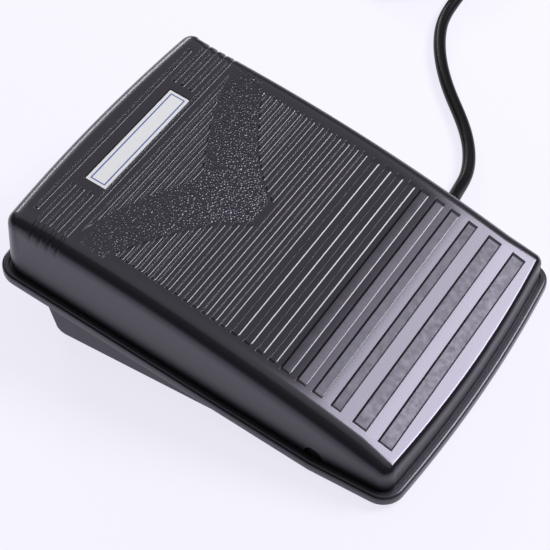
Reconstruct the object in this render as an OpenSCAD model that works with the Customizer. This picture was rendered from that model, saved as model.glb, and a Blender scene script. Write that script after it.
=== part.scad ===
// Foot pedal of a sewing machine: a ribbed rocking cover hinged on a wedge base,
// with a speed control board inside and a cord that ends in a machine plug.
// Frame: X across the pedal (cord side +X), Y along it (thin toe end -Y), Z up, floor at Z 0.

/* [Overall] */
// width over the rim
body_w = 110; // [104:1:124]
// length over the rim, curve to curve
body_l = 152; // [148:0.5:162]
// height of the tread above the floor, half way along
top_h = 36.2; // [34:0.1:42]
// radius of the tread's long arch
top_r = 567; // [540:1:700]
// distance from half way along to the arch's highest point
top_y = 131.6; // [116:0.2:138]

/* [Cover] */
// thickness of the cover's wall
wall = 2.4; // [1.8:0.1:3]
// radius of the cover's long top edges
edge_r = 5.6; // [4:0.1:7]
// radius of the top edge at the toe
toe_r = 3; // [2:0.1:4]
// radius of the rim's corners in plan
corner_r = 7.5; // [6:0.5:12]
// how far the toe end bows out
toe_bow = 3; // [1.5:0.1:5]
// how far the heel end bows out
heel_bow = 2.2; // [1.5:0.1:5]
// height of the rim
rim_h = 3.5; // [3:0.1:5]
// how far the rim stands out from the wall
rim_out = 3; // [2.4:0.1:4]
// height of the rim above the base's underside at the toe
rim_up = 0.6; // [0.3:0.1:1.2]
// slope of the rim from the hinge to the high end
rim_slope = 9.4; // [8:0.1:10.5]

/* [Tread] */
// half the length of the full tread grooves
tread_x = 43.7; // [36:0.1:45]
// depth of the tread grooves
groove_d = 0.6; // [0.3:0.05:0.9]
// length of the label
label_l = 47.6; // [30:0.2:52]
// height of the label
label_w = 7.6; // [5:0.1:9]

/* [Hinge] */
// place of the hinge along the pedal
hinge_y = -44; // [-50:0.5:-42]
// height of the hinge above the base's floor
hinge_up = 2.7; // [2.6:0.1:4]
// diameter of the hinge pins
pin_d = 3; // [2.4:0.1:3.4]
// how far the pedal rocks, in degrees
travel = 4; // [2:0.1:5]

/* [Base] */
// gap between the floor and the base
foot_gap = 1; // [0.6:0.1:2.5]
// thickness of the base's floor
floor_t = 2; // [1.6:0.1:3]
// where the wedge meets the floor at the high end
wedge_y = 54; // [50:0.5:57]
// diameter of the rubber feet
foot_d = 12; // [9:0.5:14]

/* [Board] */
// length of the circuit board
board_l = 57; // [54:0.5:58]
// width of the circuit board
board_w = 70; // [68:1:82]
// height of the board above the base's floor
board_up = 5; // [4.8:0.1:7]
// thickness of the board
board_t = 1.6; // [1.2:0.1:2]
// diameter of the wire of the return springs
wire_d = 1.2; // [0.8:0.1:1.6]

/* [Cord] */
// diameter of the cord
cord_d = 4.7; // [4:0.1:5.6]
// place of the cord's outlet along the pedal
cord_y = -29.5; // [-32:0.5:-29]
// radius of the coil at the middle of its turns
coil_r = 26; // [20:0.5:32]

/* [Hidden] */

$fn = 48;
eps = 0.02;

// plan outline of the cover's wall
hw = body_w / 2 - rim_out;
front = -body_l / 2 + rim_out;
back = body_l / 2 - rim_out;
plan_r = corner_r - rim_out;
top_c = top_h - sqrt(pow(top_r, 2) - pow(top_y, 2));
in_x = hw - wall;

// heights and places of the works
floor_z = foot_gap + floor_t;
rim_z = foot_gap + rim_up;
hinge_z = floor_z + hinge_up;
web_w = 1.5;
tall = rim_h + 2;
base_in = wall + 0.6;
ear_x = in_x - 5.8;
boss_x = in_x - 1.5;
feet_x = hw - 12;
feet_y = wedge_y - 12;
feet = [[-feet_x, -60], [feet_x, -60], [-feet_x, feet_y], [feet_x, feet_y]];
spring_x = hw - 18;
spring_y = wedge_y - 9;
spring_z = floor_z + 11;
stop_x = 14;
stop_y = wedge_y - 7;
stop_z = floor_z + 22;
board_z = floor_z + board_up;
deck_z = board_z + board_t;
board_y = wedge_y - 45.4;
hole_x = board_w / 2 - 5;
hole_y = board_l / 2 - 5;
board_holes = [for (x = [-hole_x, hole_x], y = [board_y - hole_y, board_y + hole_y]) [x, y]];
pot_y = board_y + 13.4;
pot_z = deck_z + 17.4;
fork_y = pot_y - 8.2;
sink_x = -12;
sink_y = board_y + 21.4;
choke_x = 21;
choke_y = board_y + 11.4;
term_x = 12;
term_y = board_y - 23.6;

// cord: gland, clamp, route over the floor, coil, tail and plug
gland_r = 3.5;
cord_z = floor_z + cord_d / 2 + 0.25;
clamp_x = hw - 14;
clamp_z = cord_z + 1.2;
lead_x = hw - 21;
cord_low = cord_d / 2 + 0.05;
coil_low = cord_d / 2 + 0.3;
turn = cord_d - 0.1;
row = turn * sin(60);
coil_x = 188;
coil_y = 21.4 + coil_r + 1.5 * turn;
plug_x = coil_x + coil_r + turn + 3.4;
plug_y = coil_y + 44;
plug_z = 6;
cord_route = [[hw + 10.12, cord_y, cord_z], [hw + 11.5, cord_y, cord_z], [hw + 14, cord_y + 0.1, cord_z - 0.3],
    [hw + 18, cord_y + 1, 4.1], [76, -27.7, 2.9], [82, -26.7, cord_low], [89, -23.8, cord_low],
    [97, -19, cord_low], [106.5, -10.7, cord_low], [115, -1.5, cord_low], [126.5, 8, cord_low],
    [136.5, 14.3, cord_low], [146, 18.7, cord_low], [154, 20.4, cord_low], [162, 21, cord_low],
    [175, 21.3, coil_low], [coil_x, 21.4, coil_low]];
tail_in = [coil_x + coil_r + turn, coil_y, coil_low + row];
tail_route = [tail_in, tail_in + [0, 12, 0.8], tail_in + [0.8, 24, 0.2], tail_in + [2.6, 34, -0.6],
    [plug_x, plug_y - 6, plug_z], [plug_x, plug_y - 0.12, plug_z]];
wire_z = deck_z + 3.2;
live_route = [[lead_x - 0.12, cord_y + 1, cord_z], [lead_x - 1, cord_y + 1, cord_z],
    [27, cord_y + 1.5, cord_z + 0.8], [21, cord_y + 3, cord_z + 3.9], [16.5, cord_y + 5.5, wire_z - 0.6],
    [term_x + 3, term_y - 4, wire_z], [term_x + 3, term_y + 1.6, wire_z]];
return_route = [[lead_x - 0.12, cord_y - 1, cord_z], [lead_x - 1, cord_y - 1, cord_z],
    [26, cord_y - 1.4, cord_z + 0.6], [18, cord_y, cord_z + 3.8], [11, cord_y + 4, wire_z - 0.6],
    [term_x - 3, term_y - 4, wire_z], [term_x - 3, term_y + 1.6, wire_z]];

// tread pattern: pitches between the front edges of its long grooves, closest at the heel side
label_y = 54.1;
tread_start = 32.9;
tread_pitch = concat([for (i = [1:7]) 2.37], [2.9], [for (i = [1:6]) 3.4], [for (i = [1:4]) 4.53],
    [5.6, 5.7, 5.7, 6.6, 9.1, 9]);

// height of the tread and its angle at a place along the pedal
function tread_z(y) = top_c + sqrt(pow(top_r, 2) - pow(y - top_y, 2));
function tread_a(y) = asin((y - top_y) / top_r);
spring_top = tread_z(spring_y) - 7.1;
// height of a line set w above the rim's underside
function rim_line(y, w) =
    y < hinge_y ? rim_z + w : rim_z + w / cos(rim_slope) + (y - hinge_y) * tan(rim_slope);
// how far a place on the cover drops at full travel
function drop(y) = (y - hinge_y) * sin(travel);
// underside of the rim's web at full travel
function web_low(y) =
    hinge_z - (hinge_z - rim_z - web_w) * cos(rim_slope) / cos(rim_slope - travel)
    + (y - hinge_y) * tan(rim_slope - travel);
// front edge and width of each long groove, counted from the heel side
function tread_y(i) = i == 0 ? tread_start : tread_y(i - 1) - tread_pitch[i - 1];
function groove_w(i) = i < 9 ? 1.2 : i < 15 ? 1.5 : i < 19 ? 2.1 : i < 23 ? 3.5 : 4.9;
// half width of the chevron's plain band at its lower and upper side
function chevron_low(y) = let(d = y - 6.7) 5.5 + 0.61 * d + 0.0277 * d * d;
function chevron_high(y) = let(d = y - 29) 1.71 * d + 0.028 * d * d;

// radius of a bowed end of the wall, and how far in from the end its corners' centres are
function bow_r(bow) = (pow(body_w / 2, 2) + pow(bow, 2)) / (2 * bow) - rim_out;
function corner_in(R, h, r) = R - sqrt(pow(R - r, 2) - pow(h - r, 2));

// one bowed end of the plan outline with its two round corners, inset by t
function end_pts(t, bow) =
    let(h = hw - t, R = bow_r(bow) - t, r = plan_r - min(t, plan_r - 1))
    let(f = asin((h - r) / (R - r)), c = corner_in(R, h, r))
    concat(
        [for (i = [0:6]) let(a = 180 + (90 - f) * i / 6) [r - h + r * cos(a), c + r * sin(a)]],
        [for (i = [1:7]) let(a = 270 - f + 2 * f * i / 8) [R * cos(a), R + R * sin(a)]],
        [for (i = [0:6]) let(a = 270 + f + (90 - f) * i / 6) [h - r + r * cos(a), c + r * sin(a)]]);

// cross-section of the arched tread with its round long edges, inset by t: radius, then width
function tread_pts(t) =
    let(h = hw - t, R = top_r - t, r = max(edge_r - t, 1))
    concat(
        [[R - 70, -h], [R - r, -h]],
        [for (i = [1:8]) let(a = 90 * i / 8) [R - r + r * sin(a), r - h - r * cos(a)]],
        [for (i = [8:-1:1]) let(a = 90 * i / 8) [R - r + r * sin(a), h - r + r * cos(a)]],
        [[R - r, h], [R - 70, h]]);

// unit vector, and a smooth curve through a list of points with k steps a span
function unit(v) = v / norm(v);
function span_point(a, b, c, d, t) =
    b + t * ((c - a) / 2 + t * (a - 2.5 * b + 2 * c - d / 2 + t * (1.5 * b - 1.5 * c + (d - a) / 2)));
function smooth(p, k) =
    let(n = len(p) - 1)
    concat(
        [for (i = [0:n - 1], j = [0:k - 1])
            span_point(p[max(i - 1, 0)], p[i], p[i + 1], p[min(i + 2, n)], j / k)],
        [p[n]]);
// one ring of m points round a path
function ring(p, i, r, m) =
    let(n = len(p) - 1, t = unit(p[min(i + 1, n)] - p[max(i - 1, 0)]))
    let(s = unit(cross(t, [0, 0, 1])), u = cross(s, t))
    [for (k = [0:m - 1]) p[i] + r * (cos(360 * k / m) * s + sin(360 * k / m) * u)];

// round rod along a path
module rod(path, r, m) {
    n = len(path);
    pts = [for (i = [0:n - 1]) each ring(path, i, r, m)];
    sides = [for (i = [0:n - 2], k = [0:m - 1])
        let(a = i * m + k, b = i * m + (k + 1) % m) each [[a, b, b + m], [a, b + m, a + m]]];
    start = [for (k = [m - 1:-1:0]) k];
    finish = [for (k = [0:m - 1]) (n - 1) * m + k];
    polyhedron(points = pts, faces = concat([start], sides, [finish]));
}

// cylinder along X from x on, and the same along Y
module x_rod(x, d, l) {
    translate([x, 0, 0]) rotate([0, 90, 0]) cylinder(d = d, h = l);
}

module y_rod(y, d, l) {
    translate([0, y, 0]) rotate([-90, 0, 0]) cylinder(d = d, h = l);
}

// cross recess in the top of a screw's head
module cross_slot(z, l, w) {
    for (a = [0, 90]) rotate([0, 0, a]) translate([-w / 2, -l / 2, z]) cube([w, l, 2]);
}

// everything inside the plan outline, inset by t
module plan_block(t) {
    toe = [for (p = end_pts(t, toe_bow)) [p[0], front + t + p[1]]];
    heel = [for (p = end_pts(t, heel_bow)) [-p[0], back - t - p[1]]];
    translate([0, 0, -10]) linear_extrude(90) polygon(concat(toe, heel));
}

// side view outline drawn in Y and Z, run across the pedal to half width h
module across(h) {
    rotate([90, 0, 90]) translate([0, 0, -h]) linear_extrude(2 * h) children();
}

// band between two lines set w0 and w1 above the rim's underside
module rim_band(w0, w1) {
    ys = [-100, hinge_y, 100];
    low = [for (y = ys) [y, rim_line(y, w0)]];
    high = [for (i = [2:-1:0]) [ys[i], rim_line(ys[i], w1)]];
    across(80) polygon(concat(low, high));
}

// sweeps a cross-section round the tread's arch between two places along the pedal
module round_arch(y0, y1) {
    a0 = tread_a(y0);
    a1 = tread_a(y1);
    translate([0, top_y, top_c]) rotate([0, 90, 0]) rotate([0, 0, 180 - a1])
        rotate_extrude(angle = a1 - a0, $fn = 720) children();
}

// frame that stands on the tread at a place along the pedal, Z outwards
module on_tread(y) {
    translate([0, top_y, top_c]) rotate([-tread_a(y), 0, 0]) translate([0, 0, top_r]) children();
}

// bowed end wall with a round top edge that runs into the tread: R wall radius, r edge radius,
// z height of the edge's centre, a angle at which the edge leaves off
module round_end(R, r, z, a) {
    edge = [for (i = [0:7]) [R - r + r * cos(a * i / 7), z + r * sin(a * i / 7)]];
    tip = edge[7];
    deep = R - 160;
    pts = concat([[deep, -60], [R, -60]], edge, [[deep, tip[1] + (tip[0] - deep) / tan(a)]]);
    rotate([0, 0, -20]) rotate_extrude(angle = 40, $fn = 720) polygon(pts);
}

// height of the centre of an edge of radius r whose centre stands at y, under the tread inset by t
function edge_z(y, r, t) = tread_z(y) - (t + r) / cos(tread_a(y));

// end of the cover at the heel, inset by t
module heel_end(t) {
    R = bow_r(heel_bow);
    r = max(plan_r - t, 1.2);
    z = edge_z(back - t - r, r, t) + 0.04;
    translate([0, back - R, 0]) rotate([0, 0, 90]) round_end(R - t, r, z, 86 - tread_a(back));
}

// end of the cover at the toe, inset by t
module toe_end(t) {
    R = bow_r(toe_bow);
    r = max(toe_r - t, 1.2);
    z = edge_z(front + t + r, r, t) + 0.04;
    translate([0, front + R, 0]) rotate([0, 0, -90]) round_end(R - t, r, z, 86 + tread_a(front));
}

// what the ball-shaped upper corners at the heel leave out of the square form
module heel_corners() {
    y = back - corner_in(bow_r(heel_bow), hw, plan_r);
    z = edge_z(y, plan_r, 0);
    for (s = [-1, 1]) difference() {
        translate([s * (hw - plan_r + 5) - 5, y, z]) cube([10, 20, 20]);
        translate([s * (hw - plan_r), y, z]) sphere(r = plan_r + 0.06);
    }
}

// the cover's closed form, inset by t
module cover_form(t) {
    intersection() {
        round_arch(-90, 96) polygon(tread_pts(t));
        plan_block(t);
        heel_end(t);
        toe_end(t);
    }
}

// one groove with square ends between two places across the tread
module groove(y, w, x0, x1) {
    on_tread(y + w / 2) translate([x0, -w / 2, -groove_d]) cube([x1 - x0, w, 4]);
}

// one groove of the inner triangle whose ends run out by k along the chevron
module slant_groove(y, w, x, k) {
    on_tread(y + w / 2) translate([0, -w / 2, -groove_d]) linear_extrude(4)
        polygon([[-x, 0], [x, 0], [x + k, w], [-x - k, w]]);
}

// groove that runs over both long edges and a little way down the walls
module wrap_groove(y, w) {
    round_arch(y, y + w) difference() {
        translate([top_r - 7, -hw - 3]) square([12, 2 * hw + 6]);
        polygon(tread_pts(groove_d));
    }
}

module tread_cuts() {
    for (i = [0:24]) {
        y = tread_y(i);
        w = groove_w(i);
        x = tread_x - 0.012 * y;
        if (y > 6) {
            groove(y, w, -x, -chevron_low(y));
            groove(y, w, chevron_low(y), x);
        } else {
            groove(y, w, -x, x);
        }
    }
    for (i = [0:5]) {
        y = 31 + 2.35 * i;
        slant_groove(y, 1.2, chevron_high(y), chevron_high(y + 1.2) - chevron_high(y));
    }
    slant_groove(45.2, 1.1, 36.7, 4.9);
    wrap_groove(48.75, 1.1);
    difference() {
        for (i = [1:3]) wrap_groove(48.75 + 3.3 * i, 1.3);
        on_tread(label_y) translate([-label_l / 2 - 3.6, -6, -3]) cube([label_l + 7.2, 11.4, 6]);
    }
    groove(62.3, 1.2, 0.4 - tread_x, tread_x - 0.4);
}

// what hangs from the cover's underside: spring seats, stop pads, the fork of the slider, two ribs
module cover_inside() {
    intersection() {
        cover_form(wall / 2);
        union() {
            for (s = [-1, 1]) {
                translate([s * spring_x, spring_y, spring_top]) cylinder(d = 13, h = 12);
                translate([s * spring_x, spring_y, spring_top - 5]) cylinder(d = 3, h = 12);
                translate([s * stop_x, stop_y, stop_z + drop(stop_y) + 0.7]) cylinder(d = 7, h = 20);
                translate([s * stop_x - 1, stop_y - 9, spring_top]) cube([2, 18, 10]);
            }
            translate([-6, fork_y - 1.5, pot_z - 3.4]) cube([12, 3, 18]);
            for (y = [-20, wedge_y - 20]) translate([-hw, y, tread_z(y) - 5.5]) cube([2 * hw, 1.6, 10]);
        }
    }
}

// arch in the wall's foot that shows the head of the hinge pin
module hinge_arch() {
    ledge = rim_z + rim_h - 1;
    for (s = [-1, 1]) translate([s * (hw - 0.25) - 0.95, hinge_y, 0]) {
        translate([0, 0, hinge_z]) x_rod(0, 4.6, 1.9);
        intersection() {
            translate([0, 0, hinge_z]) x_rod(0, 6, 1.9);
            translate([-1, -5, ledge]) cube([4, 10, 10]);
        }
        translate([0, -3, ledge]) cube([1.9, 6, hinge_z - ledge]);
    }
}

// outlet in the rim and wall that clears the cord over the whole travel
module cord_outlet() {
    r = gland_r + 0.5;
    z = cord_z + 1.3;
    translate([0, cord_y, z]) x_rod(hw - 12, 2 * r, 24);
    translate([hw - 12, cord_y - r, -5]) cube([24, 2 * r, z + 5]);
}

// the flange round the wall's foot: a lip that hangs outside the base and a web above it
module cover_rim() {
    difference() {
        intersection() {
            rim_band(0, rim_h);
            plan_block(-rim_out);
        }
        intersection() {
            rim_band(-9, web_w);
            plan_block(0.5);
        }
        plan_block(wall);
    }
}

// shadow groove between the wall and the rim's ledge
module rim_groove() {
    difference() {
        intersection() {
            rim_band(rim_h - 1, rim_h + 3);
            plan_block(-0.7);
        }
        plan_block(0);
    }
}

module pedal_cover() {
    color([0.13, 0.12, 0.14])
    difference() {
        union() {
            difference() {
                cover_form(0);
                cover_form(wall);
                rim_band(-60, web_w);
            }
            cover_rim();
            cover_inside();
            for (s = [-1, 1]) translate([s * boss_x - 1.9, hinge_y, hinge_z]) x_rod(0, pin_d + 1.8, 3.8);
        }
        rim_groove();
        heel_corners();
        tread_cuts();
        on_tread(label_y) translate([-label_l / 2 - 0.3, -label_w / 2 - 0.3, -1])
            cube([label_l + 0.6, label_w + 0.6, 5]);
        hinge_arch();
        for (s = [-1, 1]) translate([s * (in_x - 1.7) - 3.1, hinge_y, hinge_z]) x_rod(0, pin_d, 6.2);
        translate([-2.5, fork_y - 3, pot_z - 1.5]) cube([5, 6, 3]);
        cord_outlet();
    }
}

module label_plate() {
    color([0.95, 0.95, 0.95])
    on_tread(label_y) translate([-label_l / 2, -label_w / 2, -1]) cube([label_l, label_w, 0.8]);
}

module hinge_pins() {
    color([0.75, 0.76, 0.78])
    for (s = [-1, 1]) translate([0, hinge_y, hinge_z]) {
        translate([s * (hw - 4.7 - wall / 2) - 3.5 - wall / 2, 0, 0]) x_rod(0, pin_d, 7 + wall);
        translate([s * (hw - 0.8) - 0.4, 0, 0]) x_rod(0, 4.4, 0.8);
    }
}

// side view of the base: its floor's end, the wedge's round lower corner and the shelf above
shelf_y = wedge_y + 4.4;
heel_pts = [[-90, foot_gap], [wedge_y - 3, foot_gap], [wedge_y - 1.4, foot_gap + 0.5],
    [wedge_y - 0.2, foot_gap + 1.6]];

// outer skin of the wedge, below the cover's rim at full travel
module base_plinth() {
    y = wedge_y + 2.6;
    intersection() {
        across(hw) polygon(concat(heel_pts,
            [[y, web_low(y) - 0.5], [hinge_y, web_low(hinge_y) - 0.5], [-90, rim_z + web_w - 0.3]]));
        plan_block(1);
    }
}

// walls that stand up inside the cover, with the shelf under its overhanging heel
module base_walls() {
    intersection() {
        across(hw) polygon(concat(heel_pts,
            [[shelf_y, rim_line(shelf_y, 0)], [100, rim_line(100, 0)], [100, rim_line(100, tall)],
             [hinge_y, rim_line(hinge_y, tall)], [-90, rim_z + tall]]));
        plan_block(base_in);
    }
}

module base_hollow() {
    y = shelf_y - 2.3;
    intersection() {
        across(hw) polygon([[-90, floor_z], [wedge_y - 4.6, floor_z], [wedge_y - 2.6, floor_z + 1.2],
            [y, rim_line(y, 2.2)], [100, rim_line(100, 2.2)], [100, 80], [-90, 80]]);
        plan_block(base_in + 2);
    }
}

// round post on the base's floor with a hole in its top
module post(x, y, d, top, hole_d, hole_h) {
    translate([x, y, 0]) difference() {
        translate([0, 0, floor_z - eps]) cylinder(d = d, h = top - floor_z + eps);
        translate([0, 0, top - hole_h]) cylinder(d = hole_d, h = hole_h + 1);
    }
}

// upright ear with a round top that carries one hinge pin
module ear(s) {
    translate([s * ear_x - 2, hinge_y, 0]) {
        translate([0, -3.6, floor_z - eps]) cube([4, 7.2, hinge_z - floor_z + eps]);
        translate([0, 0, hinge_z]) x_rod(0, 7.2, 4);
    }
}

module base_tub() {
    color([0.12, 0.12, 0.13])
    difference() {
        union() {
            difference() {
                union() {
                    base_plinth();
                    base_walls();
                }
                base_hollow();
            }
            for (p = board_holes) post(p[0], p[1], 6.4, board_z, 2.5, 4.4);
            for (s = [-1, 1]) {
                post(s * spring_x, spring_y, 13, spring_z, 1, 0.5);
                translate([s * spring_x, spring_y, spring_z - 1]) cylinder(d = 6.6, h = 6);
                post(s * stop_x, stop_y, 10, stop_z - 5, 4, 4);
                post(clamp_x, cord_y + 6 * s, 5.4, clamp_z, 2, 3.2);
                ear(s);
            }
            translate([clamp_x - 1.5, cord_y - 3, floor_z - eps])
                cube([3, 6, cord_z - cord_d / 2 - floor_z + eps]);
            for (y = [-55, 10]) translate([10 - hw, y, floor_z - eps]) cube([2 * hw - 20, 1.6, 2.4]);
        }
        for (s = [-1, 1]) {
            translate([s * ear_x - 4, hinge_y, hinge_z]) x_rod(0, pin_d + 0.08, 8);
            translate([s * (in_x - 1.3) - 2.3, hinge_y - 3.3, floor_z]) cube([4.6, 6.6, 20]);
        }
        for (p = feet) translate([p[0], p[1], -1]) cylinder(d = foot_d, h = foot_gap + 1.8);
        translate([0, cord_y, cord_z]) x_rod(hw - 12, 5.8, 20);
    }
}

module rubber_feet() {
    color([0.08, 0.08, 0.08])
    for (p = feet) translate([p[0], p[1], 0]) cylinder(d = foot_d, h = foot_gap + 0.8);
}

module stop_bumpers() {
    color([0.1, 0.1, 0.1])
    for (s = [-1, 1]) translate([s * stop_x, stop_y, stop_z - 5]) {
        cylinder(d = 8, h = 5);
        translate([0, 0, -3.6]) cylinder(d = 4, h = 4);
    }
}

// coil spring from z0 to z1 with n turns of wire
module spring(z0, z1, r, d, n) {
    steps = 14 * n;
    path = [for (i = [0:steps])
        [r * cos(360 * i / 14), r * sin(360 * i / 14), z0 + d / 2 + (z1 - z0 - d) * i / steps]];
    rod(path, d / 2, 6);
}

module return_springs() {
    color([0.7, 0.71, 0.73])
    for (s = [-1, 1]) translate([s * spring_x, spring_y, 0])
        spring(spring_z + 0.05, spring_top - 0.05, 4.6, wire_d, 6);
}

module circuit_board() {
    color([0.62, 0.45, 0.22])
    difference() {
        translate([-board_w / 2, board_y - board_l / 2, board_z]) cube([board_w, board_l, board_t]);
        for (p = board_holes) translate([p[0], p[1], board_z - 1]) cylinder(d = 3.2, h = 4);
    }
}

module board_screws() {
    color([0.78, 0.78, 0.8])
    for (p = board_holes) translate([p[0], p[1], 0]) difference() {
        union() {
            translate([0, 0, board_z - 4]) cylinder(d = 2.5, h = 4.5 + board_t);
            translate([0, 0, deck_z]) cylinder(d = 5.4, h = 1.8);
        }
        cross_slot(deck_z + 0.9, 3.2, 0.8);
    }
}

module pot_body() {
    color([0.2, 0.24, 0.32])
    difference() {
        union() {
            translate([-6, pot_y - 4, deck_z]) cube([12, 8, pot_z + 4 - deck_z]);
            translate([-8, pot_y - 2, deck_z]) cube([16, 5, 2]);
        }
        translate([-1.5, pot_y - 5, pot_z - 6.4]) cube([3, 5.4, 9]);
    }
}

module pot_slider() {
    color([0.86, 0.85, 0.8])
    translate([-1.2, fork_y - 3, pot_z - 1]) cube([2.4, pot_y - fork_y + 3.1, 2]);
}

module heat_sink() {
    color([0.72, 0.73, 0.75])
    difference() {
        union() {
            translate([sink_x - 12, sink_y, deck_z]) cube([24, 2, 20]);
            translate([sink_x - 12, sink_y, deck_z]) cube([24, 5, 2]);
            for (i = [0:4]) translate([sink_x - 12 + 5.5 * i, sink_y, deck_z]) cube([2, 6, 20]);
        }
        translate([sink_x, sink_y, deck_z + 15.5]) y_rod(-1, 3, 3.5);
    }
}

module triac() {
    color([0.1, 0.1, 0.1])
    difference() {
        union() {
            translate([sink_x - 5, sink_y - 4.4, deck_z + 3]) cube([10, 4.4, 9]);
            translate([sink_x - 5, sink_y - 1.3, deck_z + 11]) cube([10, 1.3, 7.5]);
            for (i = [-1:1]) translate([sink_x + 2.54 * i - 0.4, sink_y - 2.6, deck_z]) cube([0.8, 0.6, 3.2]);
        }
        translate([sink_x, sink_y, deck_z + 15.5]) y_rod(-3, 3, 4);
    }
}

module sink_screw() {
    color([0.78, 0.78, 0.8])
    translate([sink_x, sink_y - 1.3, deck_z + 15.5]) rotate([90, 0, 0]) difference() {
        union() {
            translate([0, 0, -3.3]) cylinder(d = 3, h = 3.4);
            cylinder(d = 5.6, h = 1.8);
        }
        cross_slot(0.9, 3.4, 0.8);
    }
}

module choke_core() {
    color([0.75, 0.68, 0.2])
    translate([choke_x, choke_y, deck_z + 0.9]) difference() {
        cylinder(d = 18, h = 7);
        translate([0, 0, -1]) cylinder(d = 9, h = 9);
    }
}

module choke_winding() {
    color([0.72, 0.36, 0.16])
    translate([choke_x, choke_y, deck_z]) for (i = [0:17]) rotate([0, 0, 20 * i + 10]) difference() {
        translate([3.5, -0.42, 0]) cube([6.4, 0.84, 8.8]);
        translate([4.4, -2, 0.88]) cube([4.62, 4, 7.04]);
    }
}

module film_capacitor() {
    color([0.78, 0.16, 0.12])
    translate([-30, board_y - 6.6, deck_z]) cube([18, 8, 13]);
}

// axial part that lies on the board on its bent leads
module axial(x, y, d, l, lead) {
    translate([x, y, deck_z + d / 2]) {
        x_rod(-l / 2, d, l);
        x_rod(-l / 2 - 2, lead, l + 4);
        for (s = [-1, 1]) translate([s * (l / 2 + 2 - lead / 2), 0, -d / 2]) cylinder(d = lead, h = d / 2);
    }
}

module resistors() {
    color([0.8, 0.7, 0.5])
    for (i = [0:2]) axial(-16, board_y - 12.6 - 4.5 * i, 2.6, 7, 0.7);
}

module diac() {
    color([0.2, 0.3, 0.7])
    axial(0, board_y + 1.4, 2, 4.4, 0.6);
}

module terminal_block() {
    color([0.1, 0.42, 0.25])
    difference() {
        translate([term_x - 6, term_y - 4, deck_z]) cube([12, 8, 10]);
        for (s = [-1, 1]) translate([term_x + 3 * s, term_y, 0]) {
            translate([-1.6, -5, wire_z - 1.6]) cube([3.2, 7, 3.2]);
            translate([0, 0, deck_z + 7]) cylinder(d = 3.6, h = 4);
            translate([0, 0, deck_z + 4]) cylinder(d = 2, h = 4);
        }
    }
}

module terminal_screws() {
    color([0.78, 0.78, 0.8])
    for (s = [-1, 1]) translate([term_x + 3 * s, term_y, 0]) difference() {
        union() {
            translate([0, 0, deck_z + 7]) cylinder(d = 3.5, h = 2);
            translate([0, 0, wire_z + 0.9]) cylinder(d = 2, h = 4);
        }
        translate([-0.3, -3, deck_z + 8.1]) cube([0.6, 6, 2]);
    }
}

module wire_live() {
    color([0.42, 0.24, 0.12])
    rod(smooth(live_route, 3), 0.9, 8);
}

module wire_return() {
    color([0.15, 0.3, 0.65])
    rod(smooth(return_route, 3), 0.9, 8);
}

module cord_clamp() {
    color([0.3, 0.3, 0.3])
    difference() {
        translate([clamp_x - 2, cord_y - 9, clamp_z]) cube([4, 18, 3]);
        translate([clamp_x, cord_y, cord_z]) x_rod(-5, cord_d, 10);
        for (s = [-1, 1]) translate([clamp_x, cord_y + 6 * s, clamp_z - 1]) cylinder(d = 2.4, h = 5);
    }
}

module clamp_screws() {
    color([0.78, 0.78, 0.8])
    for (s = [-1, 1]) translate([clamp_x, cord_y + 6 * s, clamp_z]) difference() {
        union() {
            translate([0, 0, -3]) cylinder(d = 2, h = 6.5);
            translate([0, 0, 3]) cylinder(d = 4, h = 1.4);
        }
        cross_slot(3.7, 2.4, 0.6);
    }
}

module cord_gland() {
    color([0.09, 0.09, 0.1])
    translate([0, cord_y, cord_z]) difference() {
        union() {
            intersection() {
                x_rod(in_x - 5, 8, 2.2);
                translate([0, -9, floor_z + 0.05 - cord_z]) cube([90, 18, 20]);
            }
            x_rod(in_x - 3, 5.8, 3 + wall);
            translate([hw - 0.8, 0, 0]) rotate([0, 90, 0]) cylinder(r1 = gland_r, r2 = gland_r - 0.5, h = 10.8);
        }
        for (i = [0:2]) translate([hw + 2 + 2.6 * i, 0, 0]) difference() {
            x_rod(0, 10, 1);
            x_rod(-1, 5.2, 3);
        }
    }
}

module cord_lead() {
    color([0.09, 0.09, 0.1])
    translate([0, cord_y, cord_z]) x_rod(lead_x, cord_d, in_x - 5 - lead_x);
}

module cord_tube() {
    color([0.09, 0.09, 0.1])
    rod(smooth(cord_route, 2), cord_d / 2, 10);
}

module cord_coil() {
    color([0.09, 0.09, 0.1])
    translate([coil_x, coil_y, coil_low]) rotate_extrude() {
        for (i = [-1.5:1.5]) translate([coil_r + turn * i, 0]) circle(d = cord_d);
        for (i = [-1:1]) translate([coil_r + turn * i, row]) circle(d = cord_d);
    }
}

// band round the turns of the coil
module cord_tie() {
    high = coil_low + row + cord_d / 2;
    reach = 1.5 * turn + cord_d / 2;
    color([0.15, 0.15, 0.16])
    translate([coil_x, coil_y, 0]) rotate([0, 0, 200]) difference() {
        translate([coil_r - reach - 0.7, -2.5, 0.02]) cube([2 * reach + 1.4, 5, high + 0.7]);
        translate([coil_r - reach - 0.1, -4, 0.28]) cube([2 * reach + 0.2, 8, high - 0.2]);
    }
}

module cord_tail() {
    color([0.09, 0.09, 0.1])
    rod(smooth(tail_route, 2), cord_d / 2, 10);
}

module plug_boot() {
    color([0.09, 0.09, 0.1])
    translate([plug_x, plug_y, plug_z]) rotate([-90, 0, 0]) difference() {
        cylinder(d1 = 6.2, d2 = 9, h = 16);
        for (i = [0:2]) translate([0, 0, 3 + 4 * i]) difference() {
            cylinder(d = 14, h = 1.4);
            translate([0, 0, -1]) cylinder(d = 5.6, h = 4);
        }
    }
}

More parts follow.
